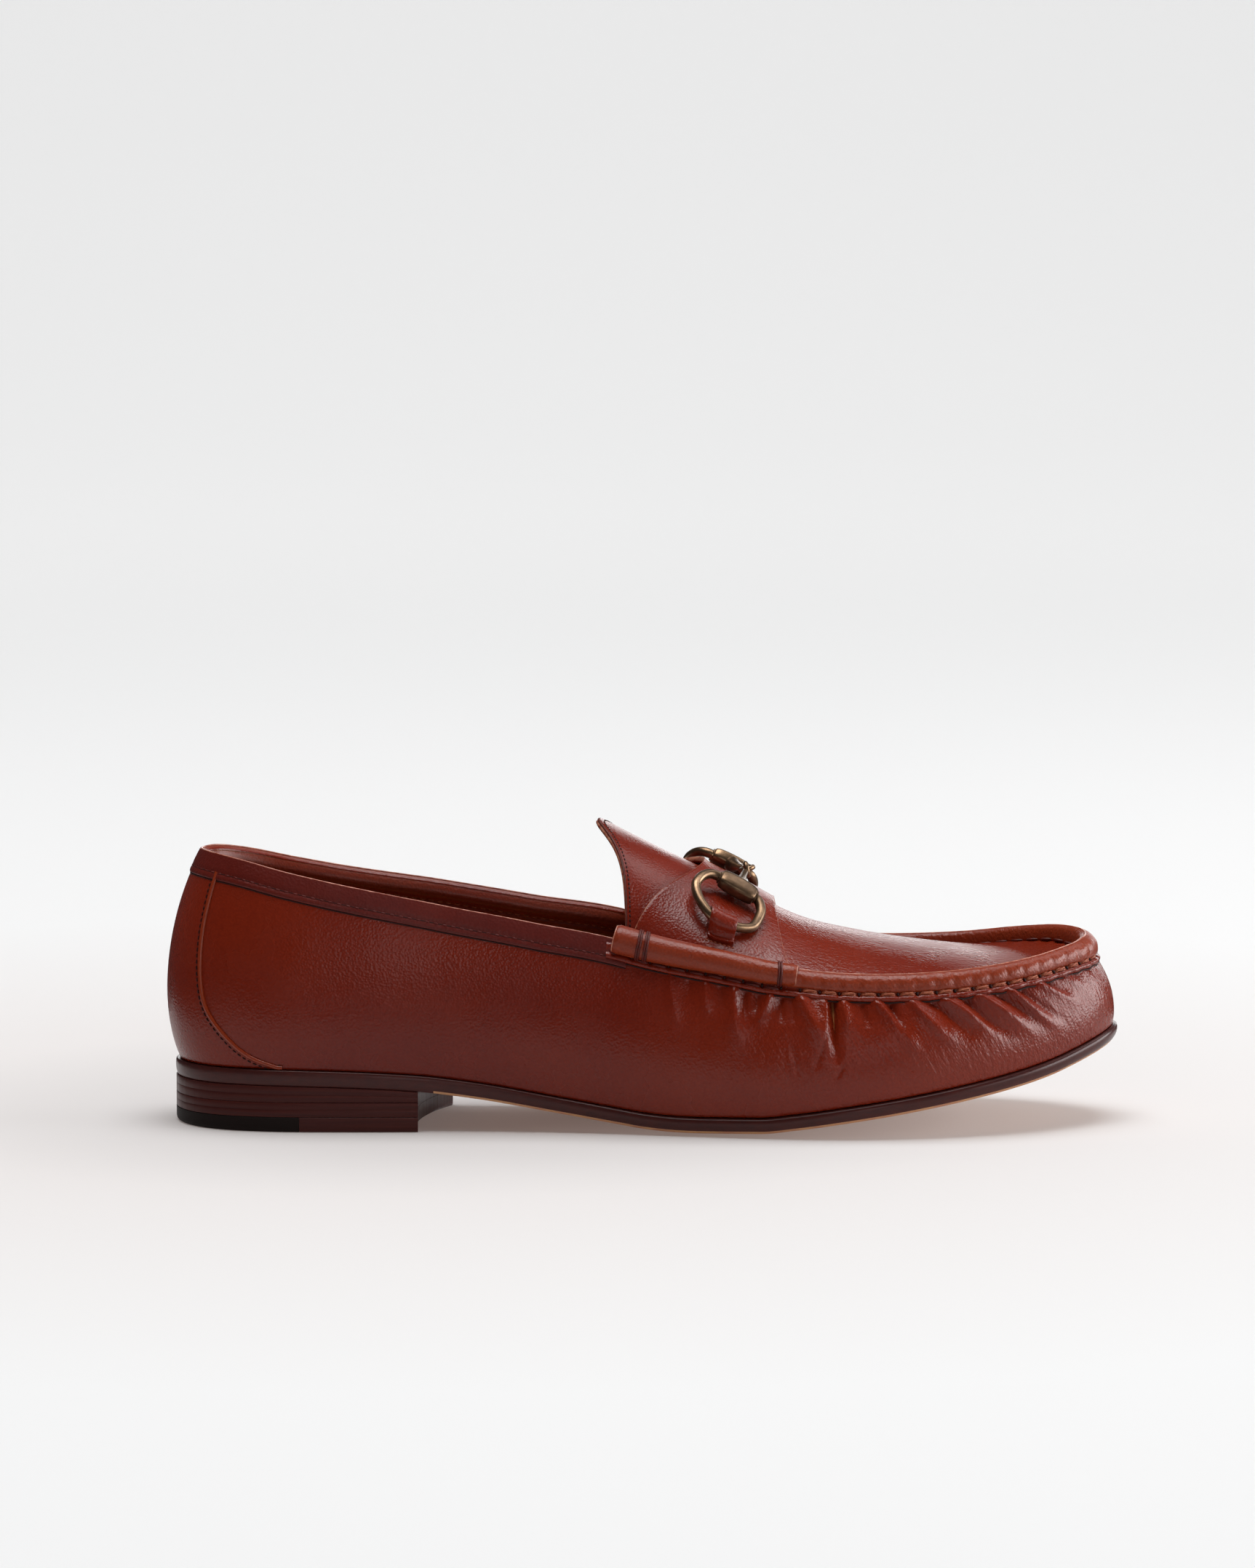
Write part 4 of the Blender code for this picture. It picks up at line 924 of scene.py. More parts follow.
LOOKS = {
    "leather": leather("chestnut_calf", "leather", "leather_dark", "leather_light"),
    # Rolls and bars: a lighter copy of the leather, a painted highlight.
    "roll": leather("rolled_calf", "roll", "leather", "roll", 0.9, 0.36, 0.08),
    "binding": leather("binding_calf", "binding", "leather_dark", "leather", 1.1, 0.40, 0.05),
    "facing": leather("facing_leather", "facing", "leather", "facing", 0.9, 0.40, 0.10),
    # The piping in the lighter roll colour, a painted highlight along it.
    "piping": leather("counter_piping", "roll", "leather", "roll", 0.4, 0.22, 0.25),
    # Painted highlight: pale lines standing for light caught on edges.
    "painted_highlight": plain("painted_edge_highlight", "painted_highlight", 0.30, "roll", 400, 0.00002, 0.3),
    # Painted shade: dark lines and holes where shade falls.
    "painted_shade": plain("painted_crevice_shade", "painted_shade", 0.75, "painted_shade", 600),
    "lining": plain("lining_leather", "lining", 0.62, "facing", 220),
    "sock": plain("sock_leather", "lining", 0.55, "lining", 260),
    "cut_edge": plain("pale_cut_edge", "cut_edge", 0.6, "leather", 600),
    "dark_cut": plain("dark_cut_edge", "dark_cut", 0.6, "leather_dark", 600),
    "thread": plain("waxed_thread", "thread", 0.5, "roll", 1500, 0.00006),
    "dark_thread": plain("dark_thread", "dark_thread", 0.5, "leather_dark", 1500, 0.00005),
    "sole_edge": sole_edge("burnished_edge"),
    "sole_tan": plain("bare_sole_leather", "sole_tan", 0.62, "cut_edge", 180),
    "heel": stacked("burnished_stack"),
    "rubber": plain("black_rubber", "rubber", 0.55, "rubber", 500, specular=0.08),
    "brass": brass("antique_brass"),
}


def local_offset():
    """From the shape functions' own place to the frame's."""
    share = np.linspace(0, LAST_SECTION, 37)
    outline = np.concatenate([edge(share), edge(-share)])
    low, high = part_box("outsole")
    low_x, low_y = outline.min(0)
    high_x, high_y = outline.max(0)
    return np.array([(low.x + high.x - low_x - high_x) / 2, (low.y + high.y - low_y - high_y) / 2, 0])


OFFSET = local_offset()


def linked(name, data):
    """A new object in the scene."""
    made = bpy.data.objects.new(name, data)
    bpy.context.scene.collection.objects.link(made)
    return made


def add_piece(name, points, faces, looks, replaced=(), bands=None, sharp=40):
    """A smooth piece from points in the shoe's own place, riding on the shoe."""
    mesh = bpy.data.meshes.new(name)
    mesh.from_pydata((np.reshape(points, (-1, 3)) + OFFSET).tolist(), [], np.asarray(faces).tolist())
    shell = bmesh.new()
    shell.from_mesh(mesh)
    bmesh.ops.recalc_face_normals(shell, faces=shell.faces)
    shell.to_mesh(mesh)
    shell.free()
    for look in looks:
        mesh.materials.append(LOOKS[look])
    if bands is not None:
        mesh.polygons.foreach_set("material_index", np.asarray(bands, np.int32))
    mesh.shade_smooth()
    mesh.set_sharp_from_angle(angle=math.radians(sharp))
    piece = linked(name, mesh)
    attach(piece, "root")
    if replaced:
        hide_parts(*replaced)
    return piece


def loft_faces(count, sides, closed=False, start=0):
    """Four-sided faces between rings of points, and across the open ends."""
    i = np.arange(count if closed else count - 1)[:, None]
    j = np.arange(sides)[None, :]
    k, m = (i + 1) % count, (j + 1) % sides
    quads = np.stack([i * sides + j, i * sides + m, k * sides + m, k * sides + j], -1).reshape(-1, 4)
    if not closed:
        first = np.arange(sides // 2 - 1)
        cap = np.stack([first, first + 1, sides - 2 - first, sides - 1 - first], -1)
        quads = np.concatenate([quads, cap, cap + (count - 1) * sides])
    return quads + start


def loft(name, rings, looks, closed=False, replaced=(), bands=None, sharp=40):
    """A solid through rings of points. bands gives each point of a ring the look of its face."""
    rings = np.asarray(rings, float)
    count, sides = rings.shape[:2]
    faces = loft_faces(count, sides, closed)
    index = None
    if bands is not None:
        index = np.zeros(len(faces), int)
        spans = count if closed else count - 1
        index[: spans * sides] = np.tile(bands, spans)
    return add_piece(name, rings, faces, looks, replaced, index, sharp)


def tubes(name, strands, looks):
    """Many small tubes as one piece. A strand is its rings, and whether it closes on itself."""
    points, faces, start = [], [], 0
    for rings, closed in strands:
        count, sides = rings.shape[:2]
        points.append(rings.reshape(-1, 3))
        faces.append(loft_faces(count, sides, closed, start))
        start += count * sides
    return add_piece(name, np.concatenate(points), np.concatenate(faces), looks, sharp=80)


def rounded_section(outer, inner, bulge, steps):
    """Loops round a sheet: its outer face, last edge, inner face and first edge."""
    theta = np.linspace(0, np.pi, steps + 2)[1:-1, None]
    rims = []
    for end, near, side in ((-1, -2, 1), (0, 1, -1)):
        middle = (outer[:, end] + inner[:, end]) / 2
        half = (outer[:, end] - inner[:, end]) / 2
        away = unit(middle - (outer[:, near] + inner[:, near]) / 2)
        away = away * np.linalg.norm(half, axis=-1, keepdims=True) * bulge[0 if end else 1]
        rims.append(middle[:, None] + side * half[:, None] * np.cos(theta) + away[:, None] * np.sin(theta))
    return np.concatenate([outer, rims[0], inner[:, ::-1], rims[1]], 1)


def section_bands(outer, inner, last, inside, first, steps):
    """The look of each face round a section made by rounded_section."""
    bands = [0] * (outer.shape[1] - 1) + [last] * (steps + 1)
    return bands + [inside] * (inner.shape[1] - 1) + [first] * (steps + 1)


def spaced(first, last, pitch, curve, samples=2400):
    """Places along a curve, evenly spaced at about a pitch."""
    u = np.linspace(first, last, samples)
    length = arc_length(curve(u))
    count = max(2, int(round(length[-1] / pitch)) + 1)
    return np.interp(np.linspace(0, length[-1], count), length, u)


SEAM_SAMPLES = np.linspace(0, LOOP, 4801)
SEAM_LENGTH = arc_length(top_line(SEAM_SAMPLES))


def seam_place(u):
    """Distance along the seam from section 8 of its own side, in millimetres."""
    u = np.asarray(u, float) % LOOP
    length = np.interp(u, SEAM_SAMPLES, SEAM_LENGTH)
    start = np.interp([8, LOOP - 8], SEAM_SAMPLES, SEAM_LENGTH)
    return np.where(u <= LOOP / 2, length - start[0], start[1] - length) * 1000


SEAM_TIP = float(seam_place(LOOP / 2 - 1e-6))
MEDIAL_TIP = float(seam_place(LOOP / 2 + 1e-6))


def crease_height(u, depth):
    """Height of the vamp's folds over its smooth form."""
    u, depth = np.broadcast_arrays(np.asarray(u, float) % LOOP, np.asarray(depth, float) * 1000)
    inner = u > LOOP / 2
    place = seam_place(u)
    place = np.where(inner, place * SEAM_TIP / MEDIAL_TIP, place)
    height = np.zeros(u.shape)
    for number, row in enumerate(CREASES):
        shift = INNER_SHIFT * math.sin(2.3 * number)
        fade = 0.75 + 0.25 * math.cos(1.7 * number)
        run = np.array([row.end - row.start, row.low - row.depth])
        reach = np.hypot(*run)
        run = run / reach
        x, y = place - row.start - np.where(inner, shift, 0), depth - row.depth
        along = (x * run[0] + y * run[1]) / reach
        bow = FOLD_BOW * reach * math.sin(1.9 * number) * np.sin(np.pi * np.clip(along, 0, 1))
        off = x * run[1] - y * run[0] - bow
        width = row.width * (0.75 + 0.75 * np.clip(along, 0, 1))
        ends = smoothstep(-0.12, 0.06, along) * (1 - smoothstep(0.35, 1.0, along))
        power = FOLD_SHARPNESS["trough" if row.height < 0 else "ridge"]
        shape = np.exp(-(np.abs(off / width) ** power))
        height += FOLD_GAIN * row.height * ends * shape * np.where(inner, fade, 1)
    gather = smoothstep(20, 60, place) * (1 - smoothstep(SEAM_TIP - 14, SEAM_TIP - 3, place))
    wave = np.cos(2 * np.pi * (place - 0.55 * (depth - 6)) / PITCH_MM)
    height += GATHER_HEIGHT * gather * wave * np.exp(-np.clip(depth - 6, 0, None) / GATHER_REACH)
    soft = np.sin(place * 0.31 + 0.8) * np.sin(depth * 0.19 + place * 0.07)
    height += SWELL_HEIGHT * soft * smoothstep(0, 30, place) * smoothstep(5, 12, depth)
    return height / 1000


def wall_stations():
    """Places round the shoe: close together round the vamp, wider at the quarters."""
    u = np.linspace(0, LOOP, 3201)
    middle = (wall_point(u, 0.6) + top_line(u)) / 2
    step = np.linalg.norm(np.diff(middle, axis=0), axis=1)
    pitch = 0.0015 - 0.0009 * smoothstep(6.5, 7.6, section_of(u[:-1]))
    count = np.concatenate([[0], np.cumsum(step / pitch)])
    total = int(round(count[-1]))
    return np.interp(np.arange(total) * count[-1] / total, count, u)


def depths_of(points):
    """Distance of each point of a column below the column's last one."""
    length = np.linalg.norm(np.diff(points, axis=1), axis=-1)
    below = np.cumsum(length[:, ::-1], 1)[:, ::-1]
    return np.concatenate([below, np.zeros((len(points), 1))], 1)


def build_wall():
    """The quarters and the vamp round the foot, with the vamp's folds."""
    u = wall_stations()[:, None]
    t = np.linspace(0, 1, 72)[None, :]
    base = wall_point(u, t)
    depth = depths_of(base)
    fold = crease_height(u, depth)
    fold = fold * smoothstep(0.0, 0.16, t) * smoothstep(0.0030, 0.0062, depth)
    normal = wall_normal(u, t)
    outer = base + normal * fold[..., None]
    rows = np.linspace(0, 1, 18)[None, :]
    inner = wall_point(u, rows) - wall_normal(u, rows) * UPPER_WALL
    inner[:, 0, 2] = sole_top(inner[:, 0, 0], inner[:, 0, 1]) + GAP
    rings = rounded_section(outer, inner, (0.55, 0.2), 2)
    loft("vamp_and_quarters", rings, ["leather", "leather", "lining"], True, ("upper",),
         section_bands(outer, inner, 0, 2, 0, 2), 60)


def build_binding():
    """The collar's folded binding, with a facing inside, a painted highlight along its crown, and painted
    shade lines under its edge and in its stitch groove.
    """
    reach = ARCHES[0].section
    u = spaced(-reach, reach, 0.0016, top_line)
    step, wall = BINDING_STEP, -UPPER_WALL
    # Rows of depth below the top line and height off the wall: up outside, over, and down inside.
    outside = [
        (BINDING_WIDTH, 0.0),
        (BINDING_WIDTH - 0.0001, step * 0.6),
        (BINDING_WIDTH - 0.0004, step * 0.95),
        (0.0064, step * 1.02),
        (0.0058, step * 0.95),
        (COLLAR_GROOVE, step * 0.62),
        (0.0048, step * 0.95),
        (0.0036, step * 1.08),
        (0.0020, step * 1.05),
        (0.0009, step * 0.85),
        (0.0002, step * 0.45),
    ]
    facing = [
        (0.0001, -0.0010),
        (0.0006, -0.0024),
        (0.0016, wall - 0.0012),
        (0.0030, wall - 0.0018),
        (0.0044, wall - 0.0014),
        (0.0055, wall - 0.0005),
        (0.0061, wall - 0.0001),
        (0.0068, wall - 0.0005),
        (LINING_WIDTH - 0.0003, wall - 0.0004),
        (LINING_WIDTH, wall + 0.0002),
    ]
    inside = [(LINING_WIDTH - 0.0006, -0.0010), (0.0014, -0.0009), (BINDING_WIDTH - 0.0008, -0.0004)]
    profile = np.array(outside + facing + inside)
    t = wall_at_depth(u[:, None], profile[None, :, 0])
    normal = wall_normal(u[:, None], t)
    points = wall_point(u[:, None], t) + normal * profile[None, :, 1:2]
    crest = slice(len(outside) - 2, len(outside) + 2)
    points[:, crest, 2] += np.array([0.0003, 0.0008, 0.0009, 0.0004])
    bands = [0] * (len(outside) - 1) + [1] * (len(profile) - len(outside) + 1)
    loft("collar_binding", points, ["binding", "facing"], bands=bands, sharp=70)
    # A painted highlight along the crown, a painted shadow under the lower edge, and painted shade in the
    # stitch groove.
    crown = (points[:, len(outside) - 1] + points[:, len(outside)]) / 2 + np.array([0, 0, 0.00012])
    line_on("binding_crown_highlight", crown, PALE_LINE, "painted_highlight")
    line, _ = wall_line(u, BINDING_WIDTH + 0.0002, 0.0)
    line_on("binding_shadow", line, SHADOW_LINE, "painted_shade")
    line, _ = wall_line(u, COLLAR_GROOVE, BINDING_STEP * 0.55)
    line_on("binding_groove_shade", line, 0.00018, "painted_shade")


def line_on(name, path, radius, look, sides=6):
    """A thin line of an even thickness along a path on the upper."""
    return tubes(name, [(strand_rings(path, radius, sides), False)], [look])


def puckered(u):
    """1 at the stitch holes of the apron seam and 0 between them."""
    return 0.5 + 0.5 * np.cos(2 * np.pi * seam_place(u) / PITCH_MM)


def build_lip():
    """The vamp's turned edge below the raised seam, which the stitches gather."""
    first = BAR_SECTIONS["lateral"][0] - 0.10
    u = spaced(first, LOOP - first - 0.2, 0.0006, top_line)
    # Rows of depth below the top line and height off the wall, from the seam down and back behind.
    profile = [
        (0.0002, 0.0000),
        (0.0012, LIP_STEP * 0.80),
        (0.0026, LIP_STEP * 0.85),
        (STITCH_DEPTH - 0.0005, LIP_STEP * 0.62),
        (STITCH_DEPTH, LIP_STEP * 0.48),
        (STITCH_DEPTH + 0.0005, LIP_STEP * 0.72),
        (STITCH_DEPTH + 0.0011, LIP_STEP * 1.12),
        (LIP_WIDTH - 0.0006, LIP_STEP * 1.10),
        (LIP_WIDTH - 0.0002, LIP_STEP * 0.80),
        (LIP_WIDTH, LIP_STEP * 0.35),
        (LIP_WIDTH - 0.0001, -0.0002),
        (LIP_WIDTH - 0.0020, -0.0005),
        (0.0014, -0.0006),
        (0.0005, -0.0006),
    ]

    def wave(u, depth, height):
        """The edge's depth and height as its stitches ruffle it near the toe."""
        place = seam_place(u)
        ruffle = smoothstep(48, 90, place) * (1 - smoothstep(SEAM_TIP - 8, SEAM_TIP + 2, place))
        hole = puckered(u)
        low = smoothstep(STITCH_DEPTH, LIP_WIDTH, depth)
        depth = depth + 0.00034 * low * ruffle * (0.5 - hole) - 0.00025 * low * (1 - ruffle) * 0.2
        swell = 1 + (0.30 * ruffle + 0.08) * (0.5 - hole) * low
        pinch = 1 - 0.85 * hole**6 * np.exp(-(((depth - STITCH_DEPTH) / 0.0009) ** 2))
        return depth, np.where(height > 0, height * swell * pinch, height)

    around = u[:, None]
    depth, height = wave(around, *np.transpose(profile))
    t = wall_at_depth(around, depth)
    points = wall_point(around, t) + wall_normal(around, t) * height[..., None]
    loft("vamp_edge", points, ["leather"], sharp=70)
    depth, _ = wave(u, LIP_WIDTH, 0 * u)
    line, _ = wall_line(u, depth + 0.00022, 0.0)
    line_on("vamp_edge_shadow", line, 0.00030, "painted_shade")


def build_apron():
    """The apron and tongue as one lined sheet."""
    a = np.concatenate([np.linspace(0, 1, 12)[:-1], np.linspace(1, len(ARCHES) - 1, 110)])[None, :]
    turn = np.linspace(0, np.pi, 110)[:, None]
    point, normal = arch_point(a, turn), arch_normal(a, turn)
    groove = np.exp(-(((a - TONGUE_GROOVE) / 0.035) ** 2)) * 0.00012
    outer = point - normal * groove[..., None]
    inner = point - normal * UPPER_WALL
    rings = rounded_section(outer, inner, (0.5, 0.35), 4)
    bands = section_bands(outer, inner, 0, 2, 1, 4)
    loft("apron_and_tongue", rings, ["leather", "dark_cut", "lining"], bands=bands, sharp=50)


def build_seam_roll():
    """The raised seam round the apron, pinched at its stitches, with a painted highlight line along its
    crown where it shows.
    """
    first = ROLL_SECTIONS[0]
    u = spaced(first, LOOP - first, 0.0006, top_line)
    normal = wall_normal(u, 1.0)
    path = top_line(u) + normal * 0.0004 + np.array([0, 0, 0.0002])
    outline = through(ROLL_OUTLINE, np.linspace(0, len(ROLL_OUTLINE), 28, endpoint=False), True)
    flat = unit(normal * np.array([1, 1, 0]))
    side = flat[:, None] * outline[None, :, :1] + np.array([0, 0, 1]) * outline[None, :, 1:]
    rings = path[:, None] + side * roll_radius(u)[:, None, None]
    side = unit(side)
    low_out = np.clip(np.sum(side * unit(normal - np.array([0, 0, 0.75]))[:, None], -1), 0, 1) ** 3
    bare = smoothstep(ROLL_SECTIONS[1] - 0.1, ROLL_SECTIONS[1] + 0.1, section_of(u))[:, None]
    hole = puckered(u)[:, None] ** 3
    place = seam_place(u)[:, None]
    wrinkle = np.cos(place * 3.9 + 2.0 * np.sin(place * 0.7))
    change = -ROLL_PINCH * hole * low_out * bare + ROLL_WRINKLE * wrinkle * bare
    rings = rings + side * change[..., None]
    loft("apron_seam_roll", rings, ["roll"], sharp=80)
    # A painted highlight line along the roll's crown where it shows.
    show = section_of(u) > ROLL_SECTIONS[1] + 0.05
    crown = path + flat * (-0.10 * roll_radius(u))[:, None]
    crown[:, 2] += 1.03 * roll_radius(u)
    line_on("seam_roll_crown_highlight", crown[show], RIM_LINE, "painted_highlight")


def strand_rings(path, radius, sides=6, ends=0.5):
    """A thread's rings, thinner at its ends."""
    path = np.asarray(path, float)
    size = np.full(len(path), radius)
    size[[0, -1]] *= ends
    return rings_along(path, np.array([0.31, 0.27, 0.91]), size, sides)


def twisted(start, end, up, radius, sink, plies=3, turns=0.45, count=11):
    """A stitch of several plies between two holes, with its ends sunk."""
    share = np.linspace(0, 1, count)[:, None]
    arch = 1 - (2 * share - 1) ** 4
    axis = unit(end - start)
    side = unit(np.cross(axis, up))
    path = start * (1 - share) + end * share + up * (arch * (sink + radius * 0.55) - sink)
    out = []
    for ply in range(plies):
        angle = 2 * np.pi * (turns * share + ply / plies)
        shift = (side * np.cos(angle) + up * np.sin(angle)) * radius * 0.62
        out.append((strand_rings(path + shift * arch, radius * 0.60), False))
    return out


def seam_u(places, side):
    """Places round the loop at distances along one side's apron seam."""
    span = SEAM_SPANS[side]
    return np.interp(places, seam_place(span), span)


def stitch_numbers(first, last):
    """Which pitches of the seam lie between two distances."""
    return range(math.ceil(first / PITCH_MM), math.floor(last / PITCH_MM))


def seam_stitches(name, first, last, look, side, radius, depth, height):
    """Running stitches along the apron seam, one in each pitch."""
    strands = []
    for number in stitch_numbers(first, last):
        u = seam_u(np.array([number + 0.09, number + 0.91]) * PITCH_MM, side)
        t = wall_at_depth(u, depth + STITCH_SLANT)
        normal = wall_normal(u, t)
        ends = wall_point(u, t) + normal * height
        strands += twisted(ends[0], ends[1], unit(normal.sum(0)), radius, radius * 2.2)
    return tubes(name, strands, [look])


def stitch_hole_shade(name, first, last, side):
    """Painted shade in the hole between each two stitches of the apron seam: a short dark tube."""
    places = np.array([*stitch_numbers(first, last + PITCH_MM)]) * PITCH_MM
    u = seam_u(places, side)
    high, normal = wall_line(u, STITCH_DEPTH - HOLE_REACH, HOLE_HEIGHT)
    low, _ = wall_line(u, STITCH_DEPTH + HOLE_REACH, HOLE_HEIGHT)
    share = np.array([0, 0.2, 0.5, 0.8, 1])[:, None]
    strands = []
    for one, two, out in zip(high, low, normal):
        path = one * (1 - share) + two * share + out * 0.00004
        strands.append((rings_along(path, out, HOLE_RADII, 8), False))
    return tubes(name, strands, ["painted_shade"])


def roll_stitches(name, first, last, side):
    """The stitches' other ends, on the raised seam's inner side."""
    strands = []
    for number in stitch_numbers(first, last):
        u = seam_u(np.linspace(number + 0.14, number + 0.86, 5) * PITCH_MM, side)
        flat = unit(wall_normal(u, 1.0) * np.array([1, 1, 0]))
        radius = roll_radius(u)[:, None]
        path = top_line(u) - flat * (radius * 0.86 + 0.00012)
        path[:, 2] += -0.30 * radius[:, 0]
        path += -flat * ROLL_STITCH_SINK[:, None]
        strands.append((strand_rings(path, ROLL_THREAD, 8, 0.6), False))
    return tubes(name, strands, ["dark_thread"])


def fine_stitches(name, points, normals, stitch, look, radius=FINE_THREAD):
    """Small stitches along a line given by points at stitch ends."""
    strands = []
    for i in range(len(points) - 1):
        gap = (points[i + 1] - points[i]) * (1 - stitch) / 2
        start, end = points[i] + gap, points[i + 1] - gap
        up = unit(normals[i] + normals[i + 1])
        share = np.linspace(0, 1, 5)[:, None]
        arch = np.sin(np.pi * share) ** 0.6
        path = start * (1 - share) + end * share + up * (arch * radius * 1.5 - radius * 1.2)
        strands.append((strand_rings(path, radius, 6, 0.7), False))
    return tubes(name, strands, [look])


def wall_line(u, depth, height):
    """Points and normals along the wall at a depth below its top, off it by a height."""
    t = wall_at_depth(u, depth)
    normal = wall_normal(u, t)
    return wall_point(u, t) + normal * height, normal


def build_stitches():
    """Stitches of the apron seam, the collar and the tongue, and the tongue's edge."""
    low = float(seam_place(BAR_SECTIONS["lateral"][0] + 0.05))
    bare = float(seam_place(BAR_SECTIONS["lateral"][1]))
    sides = (("outer", 1, SEAM_TIP), ("inner", -1, MEDIAL_TIP))
    for word, side, tip in sides:
        seam_stitches(f"apron_stitches_{word}", bare + 1, tip, "thread", side, THREAD_RADIUS, STITCH_DEPTH,
                      LIP_STEP * 0.62)
    # Painted shade in the holes between the apron stitches.
    for word, side, tip in sides:
        stitch_hole_shade(f"stitch_hole_shade_{word}", low, tip, side)
    for word, side, tip in sides:
        roll_stitches(f"roll_stitches_{word}", bare + 3, tip, side)
    for word, side, _ in sides:
        seam_stitches(f"strap_stitches_{word}", low, bare + 1, "dark_thread", side, STRAP_THREAD,
                      STRAP_STITCH_DEPTH, LIP_STEP)

    reach = ARCHES[0].section - 0.15
    u = spaced(-reach, reach, COLLAR_PITCH, top_line)
    points, normal = wall_line(u, COLLAR_GROOVE, BINDING_STEP * 0.70)
    fine_stitches("binding_stitches", points, normal, 0.62, "binding", COLLAR_THREAD)
    points, normal = wall_line(u, 0.0062, -UPPER_WALL - 0.0002)
    fine_stitches("facing_stitches", points, -normal, 0.66, "thread", COLLAR_THREAD)

    turn = np.linspace(0.03, np.pi - 0.03, 900)
    rim, rim_normal = arch_point(0.0, turn), arch_normal(0.0, turn)
    length = arc_length(rim)
    turns = np.interp(np.arange(0, length[-1], TONGUE_PITCH), length, turn)
    points, normal = arch_point(TONGUE_GROOVE, turns), arch_normal(TONGUE_GROOVE, turns)
    # The tongue's stitches take the painted shade colour: dark thread, partly painted as shade.
    fine_stitches("tongue_stitches", points - normal * 0.00004, normal, 0.66, "painted_shade")
    back = unit(rim - arch_point(0.3, turn))
    line_on("tongue_edge_pale", rim - rim_normal * 0.00125 + back * 0.00010, 0.00062, "cut_edge", 10)
    line_on("tongue_edge_dark", rim - rim_normal * 0.00040 + back * 0.00032, 0.00034, "dark_cut", 8)


def build_counter():
    """The counter's raised seam with a painted shade line in its gutter and a row of stitches on its heel
    side.
    """
    for sign, word in ((1, "outer"), (-1, "inner")):
        u, t = counter_route(sign, 90)
        normal = wall_normal(u, t)
        path = wall_point(u, t) + normal * COUNTER_RIDGE_RADIUS * 0.20
        rings = rings_along(path, normal, COUNTER_RIDGE_RADIUS * 0.86, 12)
        loft(f"counter_piping_{word}", rings, ["piping"], sharp=80)
        along = unit(np.gradient(path, axis=0))
        across = np.cross(along, normal)
        across = across * -np.sign(across[:, :1])
        # A painted shade line in the gutter beside the piping.
        gutter = path + across * GUTTER_OFF - normal * 0.00016
        line_on(f"counter_gutter_shade_{word}", gutter, SHADOW_LINE, "painted_shade")
        line = path + across * COUNTER_STITCHES_OFF - normal * 0.0001
        length = arc_length(line)
        marks = np.arange(0.001, length[-1], COUNTER_PITCH)
        points = np.stack([np.interp(marks, length, line[:, k]) for k in range(3)], -1)
        normals = np.stack([np.interp(marks, length, normal[:, k]) for k in range(3)], -1)
        # The stitches take the painted shade colour: dark thread, partly painted as shade.
        fine_stitches(f"counter_stitches_{word}", points, normals, 0.70, "painted_shade")


def build_strap():
    """The strap over the instep, whose back edge curls up on its crown."""
    turn = np.linspace(STRAP_TURN, np.pi - STRAP_TURN, 120)[:, None]
    rise = np.sin(turn)
    back = STRAP_BACK[0] + (STRAP_BACK[1] - STRAP_BACK[0]) * rise**STRAP_BACK_HOLLOW
    front = STRAP_FRONT[0] + (STRAP_FRONT[1] - STRAP_FRONT[0]) * rise
    share = np.linspace(0, 1, 46)[None, :]
    a = back + (front - back) * share
    point, normal = arch_point(a, turn), arch_normal(a, turn)
    curl = STRAP_CURL * np.exp(-(((turn - np.pi / 2) / 0.30) ** 2)) * np.exp(-share / 0.07)
    outer = point + normal * (strap_top() + curl)[..., None]
    inner = point + normal * (strap_top() - STRAP_THICKNESS + curl)[..., None]
    rings = rounded_section(outer, inner, (0.35, 0.35), 4)
    bands = section_bands(outer, inner, 1, 0, 1, 4)
    loft("instep_strap", rings, ["leather", "cut_edge"], False, ("saddle_strap",), bands, 50)


def build_bars():
    """The strap's rolled ends along the apron seam, with their wraps and a painted highlight rim at each
    end.
    """
    share = np.linspace(0, 1, BAR_STATIONS)
    for side, word in ((1, "lateral"), (-1, "medial")):
        u = np.linspace(*[side * section for section in BAR_SECTIONS[word]], BAR_STATIONS)
        normal = wall_normal(u, 1.0)
        path = top_line(u) + normal * 0.0012 + np.array([0, 0, 0.0006])
        rings = rings_along(path, normal, np.linspace(BAR_RADIUS_BACK, BAR_RADIUS_FRONT, BAR_STATIONS), 28)
        inward = np.minimum(np.sum((rings - path[:, None]) * normal[:, None], -1, keepdims=True), 0)
        rings = rings - normal[:, None] * inward * BAR_FLATTENING
        reach = np.linalg.norm(path[-1] - path[0])
        near = np.minimum(share, 1 - share) * reach
        size = 0.90 + 0.10 * smoothstep(0, 0.0009, near)
        rings = path[:, None] + (rings - path[:, None]) * size[:, None, None]
        loft(f"strap_bar_{word}", rings, ["roll", "cut_edge"], sharp=55)

        along = unit(path[-1] - path[0])
        lean = np.linspace(0, 2 * np.pi, rings.shape[1], endpoint=False)
        slant = along * (WRAP_SLANT * np.sin(lean + 0.6))[:, None]
        wraps = []
        for place, shift in BAR_WRAPS:
            row = np.interp(np.clip(place + shift / reach, 0, 1), share, np.arange(BAR_STATIONS))
            low = int(row)
            ring = rings[low] * (1 - row + low) + rings[min(low + 1, BAR_STATIONS - 1)] * (row - low)
            centre = ring.mean(0)
            outline = centre + (ring - centre) * (1 + 0.00012 / BAR_RADIUS_FRONT) + slant
            wraps.append((ring_tube(outline, along, WRAP_THREAD, 8), True))
        tubes(f"bar_wraps_{word}", wraps, ["dark_thread"])
        # A painted highlight rim at each end of the bar.
        rims = []
        for ring in (rings[0], rings[-1]):
            outline = ring.mean(0) + (ring - ring.mean(0)) * 0.97
            rims.append((ring_tube(outline, along, RIM_LINE, 6), True))
        tubes(f"bar_highlight_rims_{word}", rims, ["painted_highlight"])


